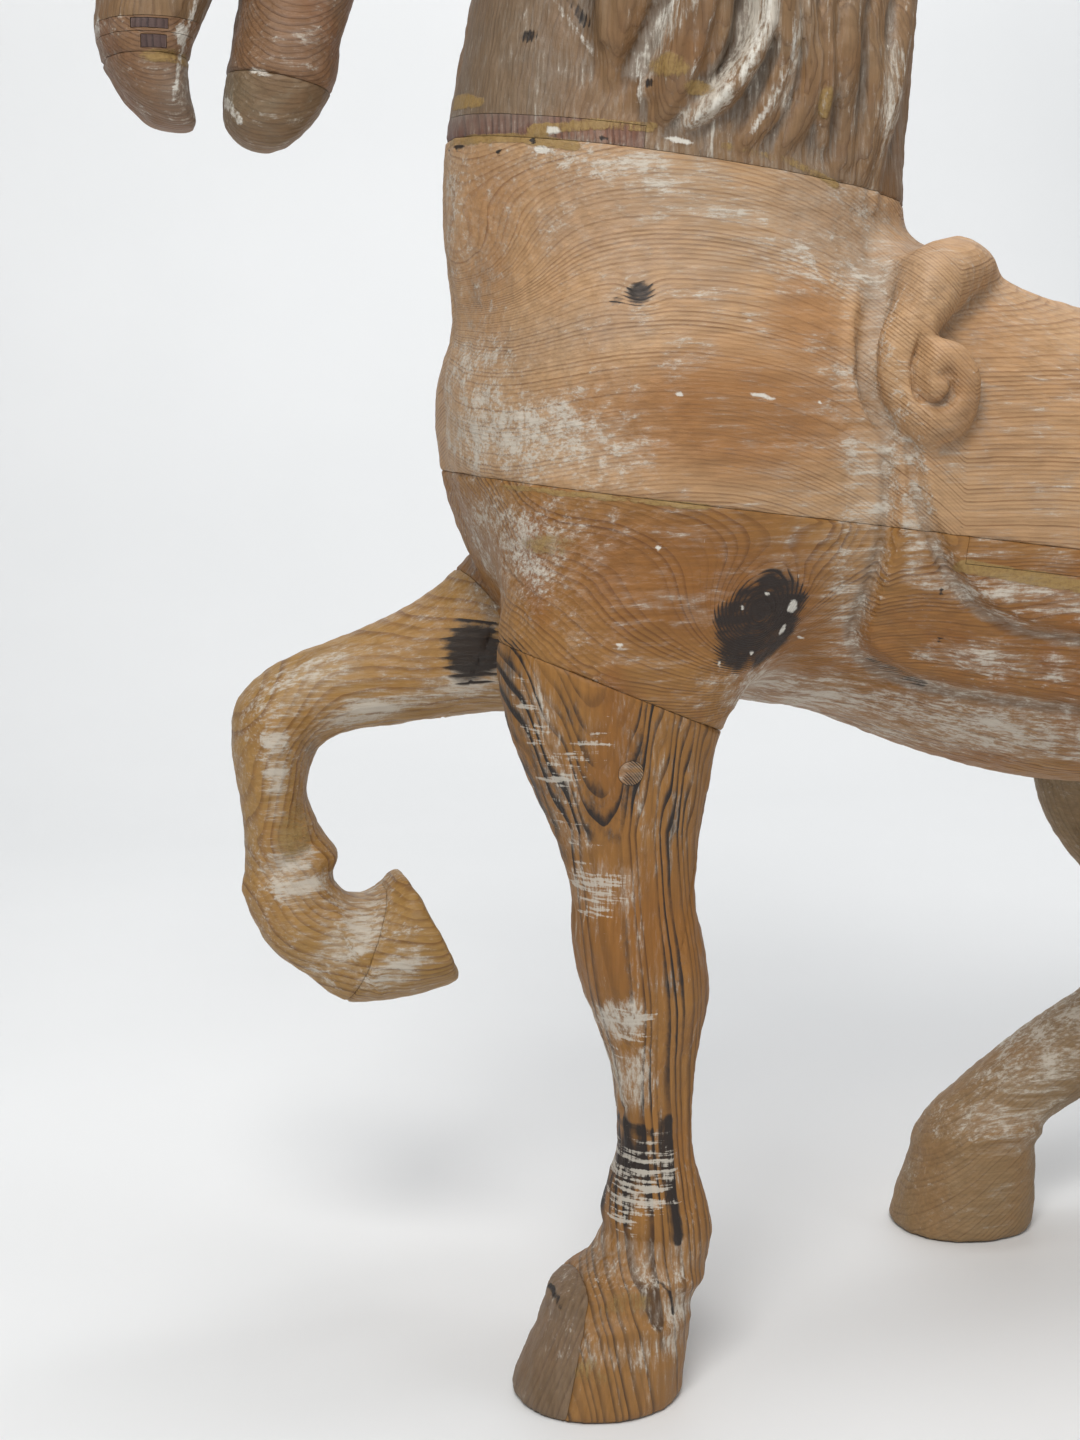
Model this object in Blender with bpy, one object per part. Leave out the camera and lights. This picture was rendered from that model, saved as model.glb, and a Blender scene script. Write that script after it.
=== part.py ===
"""A carved carousel horse: planks and leg blocks glued and dowelled up, then carved.

Metres, +Z up. The horse faces -X and its near (left) side faces -Y. Section tables are
drawn in a side view whose origin is the centre of the near fore hoof on the floor; every
object hangs from one empty that moves that origin so the finished horse is centred.
"""

import math

import bmesh
import bpy
from mathutils import Matrix, Vector

# Driving dimensions.
DRAWING_SHIFT = 0.2755  # from the middle of the whole length to the near fore hoof
SOLE_Z = 0.011  # height of the soles in the drawing
GAP = 0.0003  # glue line between two blocks
NEAR_Y = -0.078  # standing near foreleg
FAR_Y = 0.090  # raised far foreleg
NEAR_HIND_Y = -0.105
FAR_HIND_Y = 0.105
DOWEL_RADIUS = 0.009
DOWEL_LENGTH = 0.070
HOCK_DOWEL_RADIUS = 0.007
HOCK_DOWEL_LENGTH = 0.050
EAR_DOWEL_RADIUS = 0.004
EAR_DOWEL_LENGTH = 0.022
PLUG_RADIUS = 0.007
PLUG_DEPTH = 0.010
CLOTH_PROUD = 0.005  # saddle cloth above the barrel
FLAP_PROUD = 0.010  # saddle flap above the barrel
WIDE = 0.30  # half width that clears the horse
FAR = 1.50  # length that clears the horse

# Glue lines in the side view: a point on the line and its angle in degrees.
NECK_SEAM = (0.0750, 0.7265, -7.2)
BODY_SEAM = (0.0840, 0.5355, -7.1)
NEAR_LEG_SEAM = (0.0090, 0.4355, -22.7)
FAR_LEG_SEAM = (0.0000, 0.4325, -54.8)
HIND_SEAM = (0.5000, 0.3420, 0.0)
HEAD_SEAM = (-0.0290, 1.0100, 72.0)
JAW_SEAM = (-0.1830, 0.8460, -16.3)
JAW_TIP_SEAM = (-0.1900, 0.7765, -11.0)
MUZZLE_SEAM = (-0.2300, 0.7805, 0.0)
TOE_SEAM = (-0.0180, 0.0450, 75.4)
FAR_HOOF_SEAM = (-0.1035, 0.2500, 70.0)
NEAR_HOCK_SEAM = (0.6550, 0.2280, 14.0)
FAR_HOCK_SEAM = (0.4720, 0.1780, 121.0)
TAIL_SEAM = (0.7030, 0.6000, 90.0)
EAR_SEAM = (-0.0650, 1.1120, 0.0)

# Section rows: x and z of one edge, x and z of the opposite edge, half width, centre y.
TRUNK = (
    (-0.0670, 0.612, -0.0670, 0.574, 0.022, 0.0),
    (-0.0610, 0.645, -0.0610, 0.545, 0.048, 0.0),
    (-0.0420, 0.678, -0.0420, 0.496, 0.084, 0.0),
    (-0.0080, 0.705, -0.0080, 0.454, 0.111, 0.0),
    (0.0400, 0.722, 0.0400, 0.424, 0.127, 0.0),
    (0.1000, 0.722, 0.1000, 0.416, 0.131, 0.0),
    (0.1600, 0.710, 0.1600, 0.405, 0.129, 0.0),
    (0.2300, 0.679, 0.2300, 0.378, 0.129, 0.0),
    (0.3000, 0.650, 0.3000, 0.358, 0.132, 0.0),
    (0.3700, 0.640, 0.3700, 0.351, 0.134, 0.0),
    (0.4400, 0.644, 0.4400, 0.357, 0.133, 0.0),
    (0.5100, 0.658, 0.5100, 0.377, 0.132, 0.0),
    (0.5700, 0.667, 0.5700, 0.404, 0.130, 0.0),
    (0.6200, 0.660, 0.6200, 0.425, 0.118, 0.0),
    (0.6600, 0.637, 0.6600, 0.450, 0.094, 0.0),
    (0.6850, 0.605, 0.6850, 0.482, 0.058, 0.0),
    (0.6960, 0.570, 0.6960, 0.515, 0.024, 0.0),
)
NECK = (
    (-0.040, 0.600, 0.190, 0.600, 0.100, 0.0),
    (-0.064, 0.650, 0.205, 0.650, 0.104, 0.0),
    (-0.066, 0.700, 0.212, 0.700, 0.099, 0.0),
    (-0.063, 0.750, 0.210, 0.755, 0.090, 0.0),
    (-0.049, 0.822, 0.206, 0.838, 0.081, 0.0),
    (-0.043, 0.869, 0.190, 0.915, 0.073, 0.0),
    (-0.046, 0.910, 0.130, 1.008, 0.063, 0.0),
    (-0.058, 0.948, 0.056, 1.072, 0.056, 0.0),
    (-0.080, 0.975, -0.015, 1.102, 0.050, 0.0),
    (-0.110, 0.990, -0.070, 1.100, 0.042, 0.0),
)
HEAD = (
    (-0.098, 1.108, -0.040, 1.088, 0.030, 0.0),
    (-0.142, 1.090, -0.008, 1.036, 0.056, 0.0),
    (-0.173, 1.052, -0.010, 0.979, 0.065, 0.0),
    (-0.194, 1.000, -0.035, 0.928, 0.061, 0.0),
    (-0.218, 0.942, -0.084, 0.880, 0.052, 0.0),
    (-0.238, 0.890, -0.112, 0.842, 0.045, 0.0),
    (-0.248, 0.862, -0.160, 0.846, 0.042, 0.0),
)
UPPER_JAW = (
    (-0.236, 0.895, -0.150, 0.880, 0.040, 0.0),
    (-0.250, 0.855, -0.178, 0.848, 0.042, 0.0),
    (-0.258, 0.826, -0.194, 0.822, 0.042, 0.0),
    (-0.262, 0.800, -0.205, 0.799, 0.044, 0.0),
    (-0.258, 0.781, -0.212, 0.780, 0.043, 0.0),
    (-0.248, 0.762, -0.211, 0.760, 0.037, 0.0),
    (-0.234, 0.748, -0.208, 0.747, 0.024, 0.0),
    (-0.222, 0.744, -0.212, 0.744, 0.008, 0.0),
)
LOWER_JAW = (
    (-0.160, 0.890, -0.080, 0.890, 0.040, 0.0),
    (-0.172, 0.860, -0.100, 0.858, 0.038, 0.0),
    (-0.181, 0.825, -0.117, 0.822, 0.036, 0.0),
    (-0.186, 0.795, -0.127, 0.793, 0.038, 0.0),
    (-0.191, 0.772, -0.131, 0.770, 0.037, 0.0),
    (-0.192, 0.750, -0.143, 0.750, 0.030, 0.0),
    (-0.184, 0.738, -0.156, 0.738, 0.018, 0.0),
    (-0.174, 0.734, -0.166, 0.734, 0.006, 0.0),
)
NEAR_FORELEG = (
    (-0.020, 0.540, 0.095, 0.540, 0.040, NEAR_Y + 0.006),
    (-0.046, 0.490, 0.105, 0.490, 0.050, NEAR_Y + 0.002),
    (-0.053, 0.450, 0.096, 0.450, 0.052, NEAR_Y),
    (-0.050, 0.427, 0.085, 0.427, 0.049, NEAR_Y),
    (-0.044, 0.404, 0.073, 0.404, 0.045, NEAR_Y),
    (-0.029, 0.369, 0.066, 0.369, 0.040, NEAR_Y),
    (-0.016, 0.339, 0.061, 0.339, 0.036, NEAR_Y),
    (-0.009, 0.309, 0.061, 0.309, 0.034, NEAR_Y),
    (-0.008, 0.285, 0.066, 0.285, 0.035, NEAR_Y),
    (-0.002, 0.258, 0.070, 0.258, 0.034, NEAR_Y),
    (0.006, 0.234, 0.067, 0.234, 0.029, NEAR_Y),
    (0.014, 0.210, 0.063, 0.210, 0.024, NEAR_Y),
    (0.018, 0.180, 0.061, 0.180, 0.022, NEAR_Y),
    (0.018, 0.155, 0.062, 0.155, 0.023, NEAR_Y),
    (0.011, 0.130, 0.069, 0.130, 0.028, NEAR_Y),
    (0.006, 0.106, 0.074, 0.106, 0.031, NEAR_Y),
    (-0.002, 0.088, 0.069, 0.086, 0.032, NEAR_Y),
    (-0.020, 0.074, 0.060, 0.066, 0.038, NEAR_Y - 0.001),
    (-0.030, 0.052, 0.058, 0.046, 0.043, NEAR_Y - 0.002),
    (-0.042, 0.026, 0.055, 0.024, 0.047, NEAR_Y - 0.002),
    (-0.047, SOLE_Z, 0.053, SOLE_Z, 0.049, NEAR_Y - 0.002),
)
FAR_FORELEG = (
    (0.030, 0.535, 0.060, 0.430, 0.045, FAR_Y - 0.014),
    (-0.020, 0.503, 0.020, 0.402, 0.047, FAR_Y - 0.006),
    (-0.062, 0.471, -0.038, 0.396, 0.041, FAR_Y),
    (-0.108, 0.450, -0.084, 0.391, 0.034, FAR_Y),
    (-0.146, 0.436, -0.114, 0.388, 0.033, FAR_Y),
    (-0.178, 0.412, -0.128, 0.380, 0.034, FAR_Y),
    (-0.184, 0.380, -0.133, 0.368, 0.032, FAR_Y),
    (-0.180, 0.345, -0.136, 0.347, 0.027, FAR_Y),
    (-0.178, 0.318, -0.130, 0.326, 0.025, FAR_Y),
    (-0.179, 0.302, -0.118, 0.309, 0.025, FAR_Y),
    (-0.180, 0.286, -0.124, 0.298, 0.026, FAR_Y),
    (-0.165, 0.252, -0.114, 0.283, 0.029, FAR_Y),
    (-0.141, 0.231, -0.099, 0.282, 0.030, FAR_Y),
    (-0.117, 0.213, -0.090, 0.287, 0.036, FAR_Y),
    (-0.080, 0.213, -0.084, 0.293, 0.042, FAR_Y),
    (-0.041, 0.222, -0.079, 0.298, 0.046, FAR_Y),
)
NEAR_HIND_LEG = (
    (0.480, 0.600, 0.660, 0.600, 0.040, NEAR_HIND_Y + 0.035),
    (0.445, 0.530, 0.700, 0.530, 0.054, NEAR_HIND_Y + 0.022),
    (0.428, 0.450, 0.692, 0.462, 0.054, NEAR_HIND_Y + 0.014),
    (0.445, 0.385, 0.678, 0.408, 0.050, NEAR_HIND_Y + 0.010),
    (0.490, 0.335, 0.672, 0.362, 0.042, NEAR_HIND_Y + 0.006),
    (0.543, 0.300, 0.680, 0.328, 0.035, NEAR_HIND_Y + 0.002),
    (0.585, 0.272, 0.694, 0.298, 0.031, NEAR_HIND_Y),
    (0.609, 0.240, 0.702, 0.264, 0.029, NEAR_HIND_Y),
    (0.623, 0.205, 0.688, 0.220, 0.026, NEAR_HIND_Y),
    (0.632, 0.165, 0.681, 0.168, 0.022, NEAR_HIND_Y),
    (0.632, 0.132, 0.686, 0.128, 0.026, NEAR_HIND_Y),
    (0.624, 0.106, 0.692, 0.098, 0.030, NEAR_HIND_Y),
    (0.612, 0.086, 0.682, 0.076, 0.031, NEAR_HIND_Y),
    (0.596, 0.070, 0.672, 0.058, 0.037, NEAR_HIND_Y),
    (0.582, 0.038, 0.670, 0.034, 0.044, NEAR_HIND_Y),
    (0.570, SOLE_Z, 0.669, SOLE_Z, 0.048, NEAR_HIND_Y),
)
FAR_HIND_LEG = (
    (0.460, 0.600, 0.650, 0.600, 0.040, FAR_HIND_Y - 0.035),
    (0.405, 0.520, 0.692, 0.530, 0.056, FAR_HIND_Y - 0.022),
    (0.376, 0.430, 0.668, 0.470, 0.056, FAR_HIND_Y - 0.014),
    (0.371, 0.360, 0.622, 0.412, 0.050, FAR_HIND_Y - 0.010),
    (0.384, 0.308, 0.598, 0.368, 0.044, FAR_HIND_Y - 0.006),
    (0.413, 0.270, 0.593, 0.322, 0.038, FAR_HIND_Y - 0.002),
    (0.448, 0.240, 0.597, 0.280, 0.032, FAR_HIND_Y),
    (0.472, 0.221, 0.594, 0.236, 0.030, FAR_HIND_Y),
    (0.477, 0.209, 0.548, 0.187, 0.028, FAR_HIND_Y),
    (0.454, 0.194, 0.482, 0.150, 0.026, FAR_HIND_Y),
    (0.424, 0.174, 0.453, 0.122, 0.028, FAR_HIND_Y),
    (0.394, 0.157, 0.424, 0.100, 0.031, FAR_HIND_Y),
    (0.360, 0.134, 0.396, 0.085, 0.031, FAR_HIND_Y),
    (0.328, 0.110, 0.383, 0.072, 0.034, FAR_HIND_Y),
    (0.306, 0.090, 0.384, 0.058, 0.038, FAR_HIND_Y),
    (0.291, 0.050, 0.384, 0.034, 0.044, FAR_HIND_Y),
    (0.279, SOLE_Z, 0.382, SOLE_Z, 0.048, FAR_HIND_Y),
)
TAIL = (
    (0.640, 0.640, 0.655, 0.575, 0.022, 0.0),
    (0.692, 0.648, 0.700, 0.582, 0.030, 0.0),
    (0.748, 0.640, 0.722, 0.572, 0.036, 0.0),
    (0.790, 0.596, 0.728, 0.548, 0.041, 0.0),
    (0.808, 0.530, 0.731, 0.505, 0.043, 0.0),
    (0.813, 0.450, 0.733, 0.440, 0.042, 0.0),
    (0.811, 0.370, 0.735, 0.370, 0.036, 0.0),
    (0.803, 0.300, 0.742, 0.306, 0.026, 0.0),
    (0.786, 0.245, 0.752, 0.254, 0.013, 0.0),
    (0.768, 0.212, 0.762, 0.216, 0.004, 0.0),
)
EAR = (
    (-0.086, 1.078, -0.042, 1.082, 0.014, 0.038),
    (-0.088, 1.104, -0.046, 1.106, 0.015, 0.041),
    (-0.084, 1.130, -0.052, 1.131, 0.012, 0.045),
    (-0.078, 1.152, -0.062, 1.152, 0.006, 0.047),
    (-0.073, 1.163, -0.070, 1.163, 0.001, 0.048),
)
CANTLE = (
    (0.410, 0.6465, 0.410, 0.540, 0.110, 0.0),
    (0.440, 0.6560, 0.440, 0.540, 0.118, 0.0),
    (0.470, 0.6770, 0.470, 0.540, 0.116, 0.0),
    (0.492, 0.6940, 0.492, 0.545, 0.110, 0.0),
    (0.506, 0.6980, 0.506, 0.550, 0.104, 0.0),
    (0.516, 0.6900, 0.516, 0.555, 0.100, 0.0),
    (0.520, 0.6760, 0.520, 0.560, 0.098, 0.0),
)
# Swept rolls and locks: x, y, z and radius along the middle; y is for the near side.
POMMEL_ROLL = (
    (0.2540, 0.0000, 0.6780, 0.0150),
    (0.2440, -0.0300, 0.6810, 0.0150),
    (0.2180, -0.0660, 0.6760, 0.0150),
    (0.1900, -0.1000, 0.6670, 0.0150),
    (0.1740, -0.1220, 0.6440, 0.0140),
    (0.1710, -0.1330, 0.6130, 0.0130),
    (0.1800, -0.1360, 0.5910, 0.0120),
    (0.1990, -0.1360, 0.5880, 0.0110),
    (0.2060, -0.1350, 0.6040, 0.0090),
    (0.1960, -0.1345, 0.6130, 0.0075),
    (0.1900, -0.1340, 0.6040, 0.0060),
)
CREST_ROLL = (
    (-0.050, 0.0, 1.092, 0.0120),
    (0.000, 0.0, 1.096, 0.0180),
    (0.060, 0.0, 1.064, 0.0220),
    (0.132, 0.0, 0.998, 0.0240),
    (0.184, 0.0, 0.915, 0.0250),
    (0.198, 0.0, 0.836, 0.0250),
    (0.200, 0.0, 0.770, 0.0210),
    (0.198, 0.0, 0.722, 0.0150),
)
MANE_LOCKS = (
    (
        (0.010, -0.008, 1.094, 0.014),
        (-0.022, -0.040, 1.050, 0.018),
        (-0.040, -0.056, 0.998, 0.018),
        (-0.014, -0.062, 0.948, 0.014),
        (-0.030, -0.066, 0.902, 0.004),
    ),
    (
        (0.062, -0.010, 1.066, 0.016),
        (0.026, -0.046, 1.010, 0.020),
        (-0.002, -0.066, 0.935, 0.020),
        (0.016, -0.078, 0.862, 0.016),
        (0.004, -0.084, 0.790, 0.004),
    ),
    (
        (0.120, -0.012, 1.016, 0.018),
        (0.076, -0.050, 0.962, 0.024),
        (0.044, -0.074, 0.890, 0.026),
        (0.056, -0.082, 0.828, 0.024),
        (0.032, -0.088, 0.766, 0.006),
    ),
    (
        (0.158, -0.012, 0.966, 0.018),
        (0.124, -0.050, 0.905, 0.024),
        (0.094, -0.074, 0.845, 0.025),
        (0.098, -0.082, 0.795, 0.022),
        (0.068, -0.088, 0.746, 0.006),
    ),
    (
        (0.182, -0.012, 0.925, 0.018),
        (0.158, -0.046, 0.868, 0.022),
        (0.136, -0.068, 0.815, 0.022),
        (0.132, -0.076, 0.772, 0.018),
        (0.108, -0.082, 0.738, 0.006),
    ),
    (
        (0.198, -0.012, 0.880, 0.018),
        (0.186, -0.036, 0.832, 0.020),
        (0.170, -0.056, 0.790, 0.020),
        (0.166, -0.064, 0.755, 0.016),
        (0.150, -0.070, 0.726, 0.006),
    ),
)
CLOTH_OUTLINE = (
    (0.160, 0.760), (0.160, 0.600), (0.159, 0.490), (0.162, 0.462), (0.172, 0.446), (0.200, 0.432),
    (0.240, 0.421), (0.290, 0.413), (0.360, 0.410), (0.440, 0.416), (0.500, 0.432), (0.530, 0.460),
    (0.540, 0.520), (0.542, 0.760),
)
FLAP_OUTLINE = (
    (0.172, 0.760), (0.166, 0.610), (0.167, 0.565), (0.176, 0.540), (0.194, 0.508), (0.214, 0.489),
    (0.236, 0.477), (0.262, 0.469), (0.300, 0.461), (0.360, 0.458), (0.420, 0.464), (0.456, 0.488),
    (0.476, 0.530), (0.492, 0.600), (0.508, 0.760),
)

SHIM_THICK = 0.0120
BAND_TOP = 0.0105  # above the muzzle seam
LATH_TOP = 0.0185
INLAY_Y = 0.0360
EAR_SIDES = (("near", (-0.080, -0.015)), ("far", (0.015, 0.080)))
EYE = (-0.128, 0.056, 1.020)
EYE_RADII = (0.017, 0.012, 0.013)
NOSTRIL = (-0.246, 0.040, 0.828)
NOSTRIL_RADII = (0.009, 0.010, 0.012)

AMBER = (0.48, 0.25, 0.10)
TAN = (0.55, 0.34, 0.19)
GREY_BROWN = (0.36, 0.25, 0.18)
RED_BROWN = (0.30, 0.15, 0.10)
PALE = (0.60, 0.45, 0.28)


def new_collection(name):
    collection = bpy.data.collections.new(name)
    bpy.context.scene.collection.children.link(collection)
    return collection


def material(name, colour):
    made = bpy.data.materials.new(name)
    made.use_nodes = True
    shader = made.node_tree.nodes["Principled BSDF"]
    shader.inputs["Base Color"].default_value = (*colour, 1.0)
    shader.inputs["Roughness"].default_value = 0.6
    return made


def place(name, mesh, colour=None):
    """Adds an object under the horse: a part if it has a colour, otherwise a hidden cutter."""
    obj = bpy.data.objects.new(name, mesh)
    obj.parent = horse
    if colour:
        parts.objects.link(obj)
        mesh.materials.append(material(name + "_wood", colour))
    else:
        cutters.objects.link(obj)
        obj.hide_render = True
        obj.display_type = "WIRE"
    return obj


def mesh_from(bm, name):
    bmesh.ops.recalc_face_normals(bm, faces=bm.faces)
    mesh = bpy.data.meshes.new(name)
    bm.to_mesh(mesh)
    bm.free()
    return mesh


def smooth_rows(rows, fine):
    """The rows with `fine` spans between each pair, on a Catmull-Rom curve through them."""
    last = len(rows) - 1
    out = []
    for i in range(last):
        near = [rows[min(max(j, 0), last)] for j in range(i - 1, i + 3)]
        for step in range(fine):
            t = step / fine
            row = []
            for p, q, r, s in zip(*near):
                bend = (2 * p - 5 * q + 4 * r - s) * t**2 + (3 * q - p - 3 * r + s) * t**3
                row.append(q + 0.5 * ((r - p) * t + bend))
            out.append(row)
    out.append(rows[last])
    return out


def power(value, square):
    return math.copysign(abs(value) ** (2 / square), value)


def loft(name, rows, sides, fine=1, square=2.0, taper=0.0, proud=0.0, side=1, colour=None):
    """A closed skin over section rings. `taper` widens a ring toward its first edge."""
    bm = bmesh.new()
    rings = []
    for ax, az, bx, bz, width, y in smooth_rows(rows, fine):
        centre = Vector(((ax + bx) / 2, side * y, (az + bz) / 2))
        deep = Vector(((ax - bx) / 2, 0, (az - bz) / 2))
        deep *= 1 + proud / deep.length
        ring = []
        for k in range(sides):
            turn = math.tau * (k + 0.5) / sides
            c = power(math.cos(turn), square)
            s = power(math.sin(turn), square)
            across = (width + proud) * s * (1 + taper * c)
            ring.append(bm.verts.new(centre + deep * c + Vector((0, across, 0))))
        rings.append(ring)
    for a, b in zip(rings, rings[1:]):
        for k in range(sides):
            bm.faces.new((a[k], a[(k + 1) % sides], b[(k + 1) % sides], b[k]))
    bm.faces.new(rings[0])
    bm.faces.new(rings[-1])
    return place(name, mesh_from(bm, name), colour)


def sweep(name, points, side=1, mirrored=False):
    """A round bar of changing radius along a curve, with filled ends."""
    bars = [(x, side * y, z, r) for x, y, z, r in points]
    if mirrored:
        bars = [(x, -y, z, r) for x, y, z, r in bars[:0:-1]] + bars
    curve = bpy.data.curves.new(name, "CURVE")
    curve.dimensions = "3D"
    curve.bevel_depth = 1.0
    curve.bevel_resolution = 1
    curve.resolution_u = 2
    curve.use_fill_caps = True
    spline = curve.splines.new("NURBS")
    spline.points.add(len(bars) - 1)
    spline.use_endpoint_u = True
    spline.order_u = 3
    for point, (x, y, z, r) in zip(spline.points, bars):
        point.co = (x, y, z, 1)
        point.radius = r
    guide = bpy.data.objects.new(name + "_guide", curve)
    made = bpy.data.meshes.new_from_object(guide)
    bpy.data.objects.remove(guide)
    bm = bmesh.new()
    bm.from_mesh(made)
    bmesh.ops.remove_doubles(bm, verts=bm.verts, dist=1e-6)
    bpy.data.meshes.remove(made)
    return place(name, mesh_from(bm, name))


def slab(name, line, along, across, y=(-WIDE, WIDE), colour=None):
    """A box on a glue line: `along` it, `across` it (positive above) and between two y."""
    x, z, angle = line
    bm = bmesh.new()
    bmesh.ops.create_cube(bm, size=1)
    size = Vector((along[1] - along[0], y[1] - y[0], across[1] - across[0]))
    middle = Vector((sum(along) / 2, sum(y) / 2, sum(across) / 2))
    bmesh.ops.transform(bm, matrix=Matrix.Translation(middle) @ Matrix.Diagonal((*size, 1)), verts=bm.verts)
    obj = place(name, mesh_from(bm, name), colour)
    obj.location = (x, 0, z)
    obj.rotation_euler = (0, -math.radians(angle), 0)
    return obj


def prism(name, outline, half_width):
    """A side-view outline drawn out to both sides."""
    bm = bmesh.new()
    face = bm.faces.new([bm.verts.new((x, -half_width, z)) for x, z in outline])
    made = bmesh.ops.extrude_face_region(bm, geom=[face])
    moved = [item for item in made["geom"] if isinstance(item, bmesh.types.BMVert)]
    bmesh.ops.translate(bm, verts=moved, vec=(0, 2 * half_width, 0))
    return place(name, mesh_from(bm, name))


def rod(name, middle, direction, radius, length, colour=None):
    """A cylinder about a point, its axis along a direction."""
    bm = bmesh.new()
    bmesh.ops.create_cone(bm, cap_ends=True, segments=16, radius1=radius, radius2=radius, depth=length)
    obj = place(name, mesh_from(bm, name), colour)
    obj.location = middle
    obj.rotation_euler = Vector(direction).to_track_quat("Z", "Y").to_euler()
    return obj


def ball(name, middle, radii):
    bm = bmesh.new()
    bmesh.ops.create_uvsphere(bm, u_segments=12, v_segments=8, radius=1)
    bmesh.ops.scale(bm, vec=radii, verts=bm.verts)
    obj = place(name, mesh_from(bm, name))
    obj.location = middle
    return obj


def boolean(obj, operation, *others):
    for other in others:
        modifier = obj.modifiers.new(operation.lower() + "_" + other.name, "BOOLEAN")
        modifier.operation = operation
        modifier.object = other
        modifier.solver = "EXACT"
        modifier.use_self = operation == "INTERSECT"


def dowel(name, middle, direction, blocks, radius=DOWEL_RADIUS, length=DOWEL_LENGTH):
    """A hardwood dowel across a glue line and the blind hole that it leaves in each block."""
    rod(name, middle, direction, radius, length, PALE)
    hole = rod(name + "_hole", middle, direction, radius + GAP, length + 2 * GAP)
    for block in blocks:
        boolean(block, "DIFFERENCE", hole)


def raised_area(name, outline, proud):
    """A low relief on the barrel: the barrel skin moved out, kept inside an outline."""
    skin = loft(name, TRUNK, 24, proud=proud, square=2.15)
    boolean(skin, "INTERSECT", prism(name + "_outline", outline, WIDE))
    return skin


def carcass_shape():
    """The carved outside of the body with the roots of neck, legs and tail."""
    shape = loft("carcass", TRUNK, 24, square=2.15)
    boolean(shape, "UNION", loft("neck_root", NECK[:5], 20, fine=2, square=2.1))
    boolean(shape, "UNION", raised_area("cloth", CLOTH_OUTLINE, CLOTH_PROUD))
    boolean(shape, "UNION", raised_area("flap", FLAP_OUTLINE, FLAP_PROUD))
    boolean(shape, "UNION", loft("cantle", CANTLE, 20, square=2.3))
    boolean(shape, "UNION", sweep("pommel", POMMEL_ROLL, mirrored=True))
    boolean(shape, "UNION", loft("near_fore_limb", NEAR_FORELEG, 14))
    boolean(shape, "UNION", loft("far_fore_limb", FAR_FORELEG, 14, fine=2))
    boolean(shape, "UNION", loft("near_hind_limb", NEAR_HIND_LEG, 14, fine=2))
    boolean(shape, "UNION", loft("far_hind_limb", FAR_HIND_LEG, 14, fine=2))
    boolean(shape, "UNION", loft("tail_root", TAIL, 12, fine=2))
    return shape


def top_shape():
    """The carved outside above the neck seam: neck, mane, head, both jaws and ears."""
    shape = loft("neck_form", NECK, 20, fine=2, square=2.1)
    boolean(shape, "UNION", loft("head_form", HEAD, 18, fine=2, square=2.15))
    boolean(shape, "UNION", loft("upper_jaw_form", UPPER_JAW, 16, fine=2, square=2.3))
    boolean(shape, "UNION", loft("lower_jaw_form", LOWER_JAW, 14, fine=2, square=2.2))
    boolean(shape, "UNION", sweep("crest", CREST_ROLL))
    for index, points in enumerate(MANE_LOCKS):
        boolean(shape, "UNION", sweep(f"lock_near_{index}", points))
        boolean(shape, "UNION", sweep(f"lock_far_{index}", points, side=-1))
    for name, side in (("near", -1), ("far", 1)):
        boolean(shape, "UNION", loft("ear_form_" + name, EAR, 10, fine=2, side=side))
        eye = ball("eye_" + name, (EYE[0], side * EYE[1], EYE[2]), EYE_RADII)
        boolean(shape, "UNION", eye)
        nostril = ball("nostril_" + name, (NOSTRIL[0], side * NOSTRIL[1], NOSTRIL[2]), NOSTRIL_RADII)
        boolean(shape, "DIFFERENCE", nostril)
    return shape


def carve(block, shape, *takes):
    """Keeps what a block shares with the carved outside, then takes pieces out of it."""
    boolean(block, "INTERSECT", shape)
    boolean(block, "DIFFERENCE", *takes)
    return block


def build_body(shape):
    half = GAP / 2
    tall = 0.60
    near_room = slab("near_leg_room", NEAR_LEG_SEAM, (-0.25, 0.30), (-tall, half), (-WIDE, -0.012))
    far_room = slab("far_leg_room", FAR_LEG_SEAM, (-0.10, 0.25), (-tall, half), (0.040, WIDE))
    hind_room = slab("hind_leg_room", HIND_SEAM, (-0.24, 0.225), (-tall, half))
    lath_room = slab("lath_room", BODY_SEAM, (0.12, 0.40), (-0.0155, 0.01), (-WIDE, -0.108))
    tail_room = slab("tail_room", TAIL_SEAM, (-0.60, 0.20), (-0.40, half))
    above_neck = slab("above_neck", NECK_SEAM, (-FAR, FAR), (-half, tall))
    upper = slab("upper_body_block", BODY_SEAM, (-0.40, 0.80), (half, 0.30), colour=TAN)
    carve(upper, shape, above_neck, tail_room)
    lower = slab("lower_body_block", BODY_SEAM, (-0.40, 0.80), (-tall, -half), colour=AMBER)
    carve(lower, shape, near_room, far_room, hind_room, lath_room, tail_room)
    lath = slab("body_lath", BODY_SEAM, (0.1203, 0.3997), (-0.0152, -half), (-WIDE, -0.1083), TAN)
    carve(lath, shape)
    tail = slab("tail_block", TAIL_SEAM, (-0.60, 0.20), (-0.40, -half), colour=GREY_BROWN)
    carve(tail, shape)
    return upper, lower, tail


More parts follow.
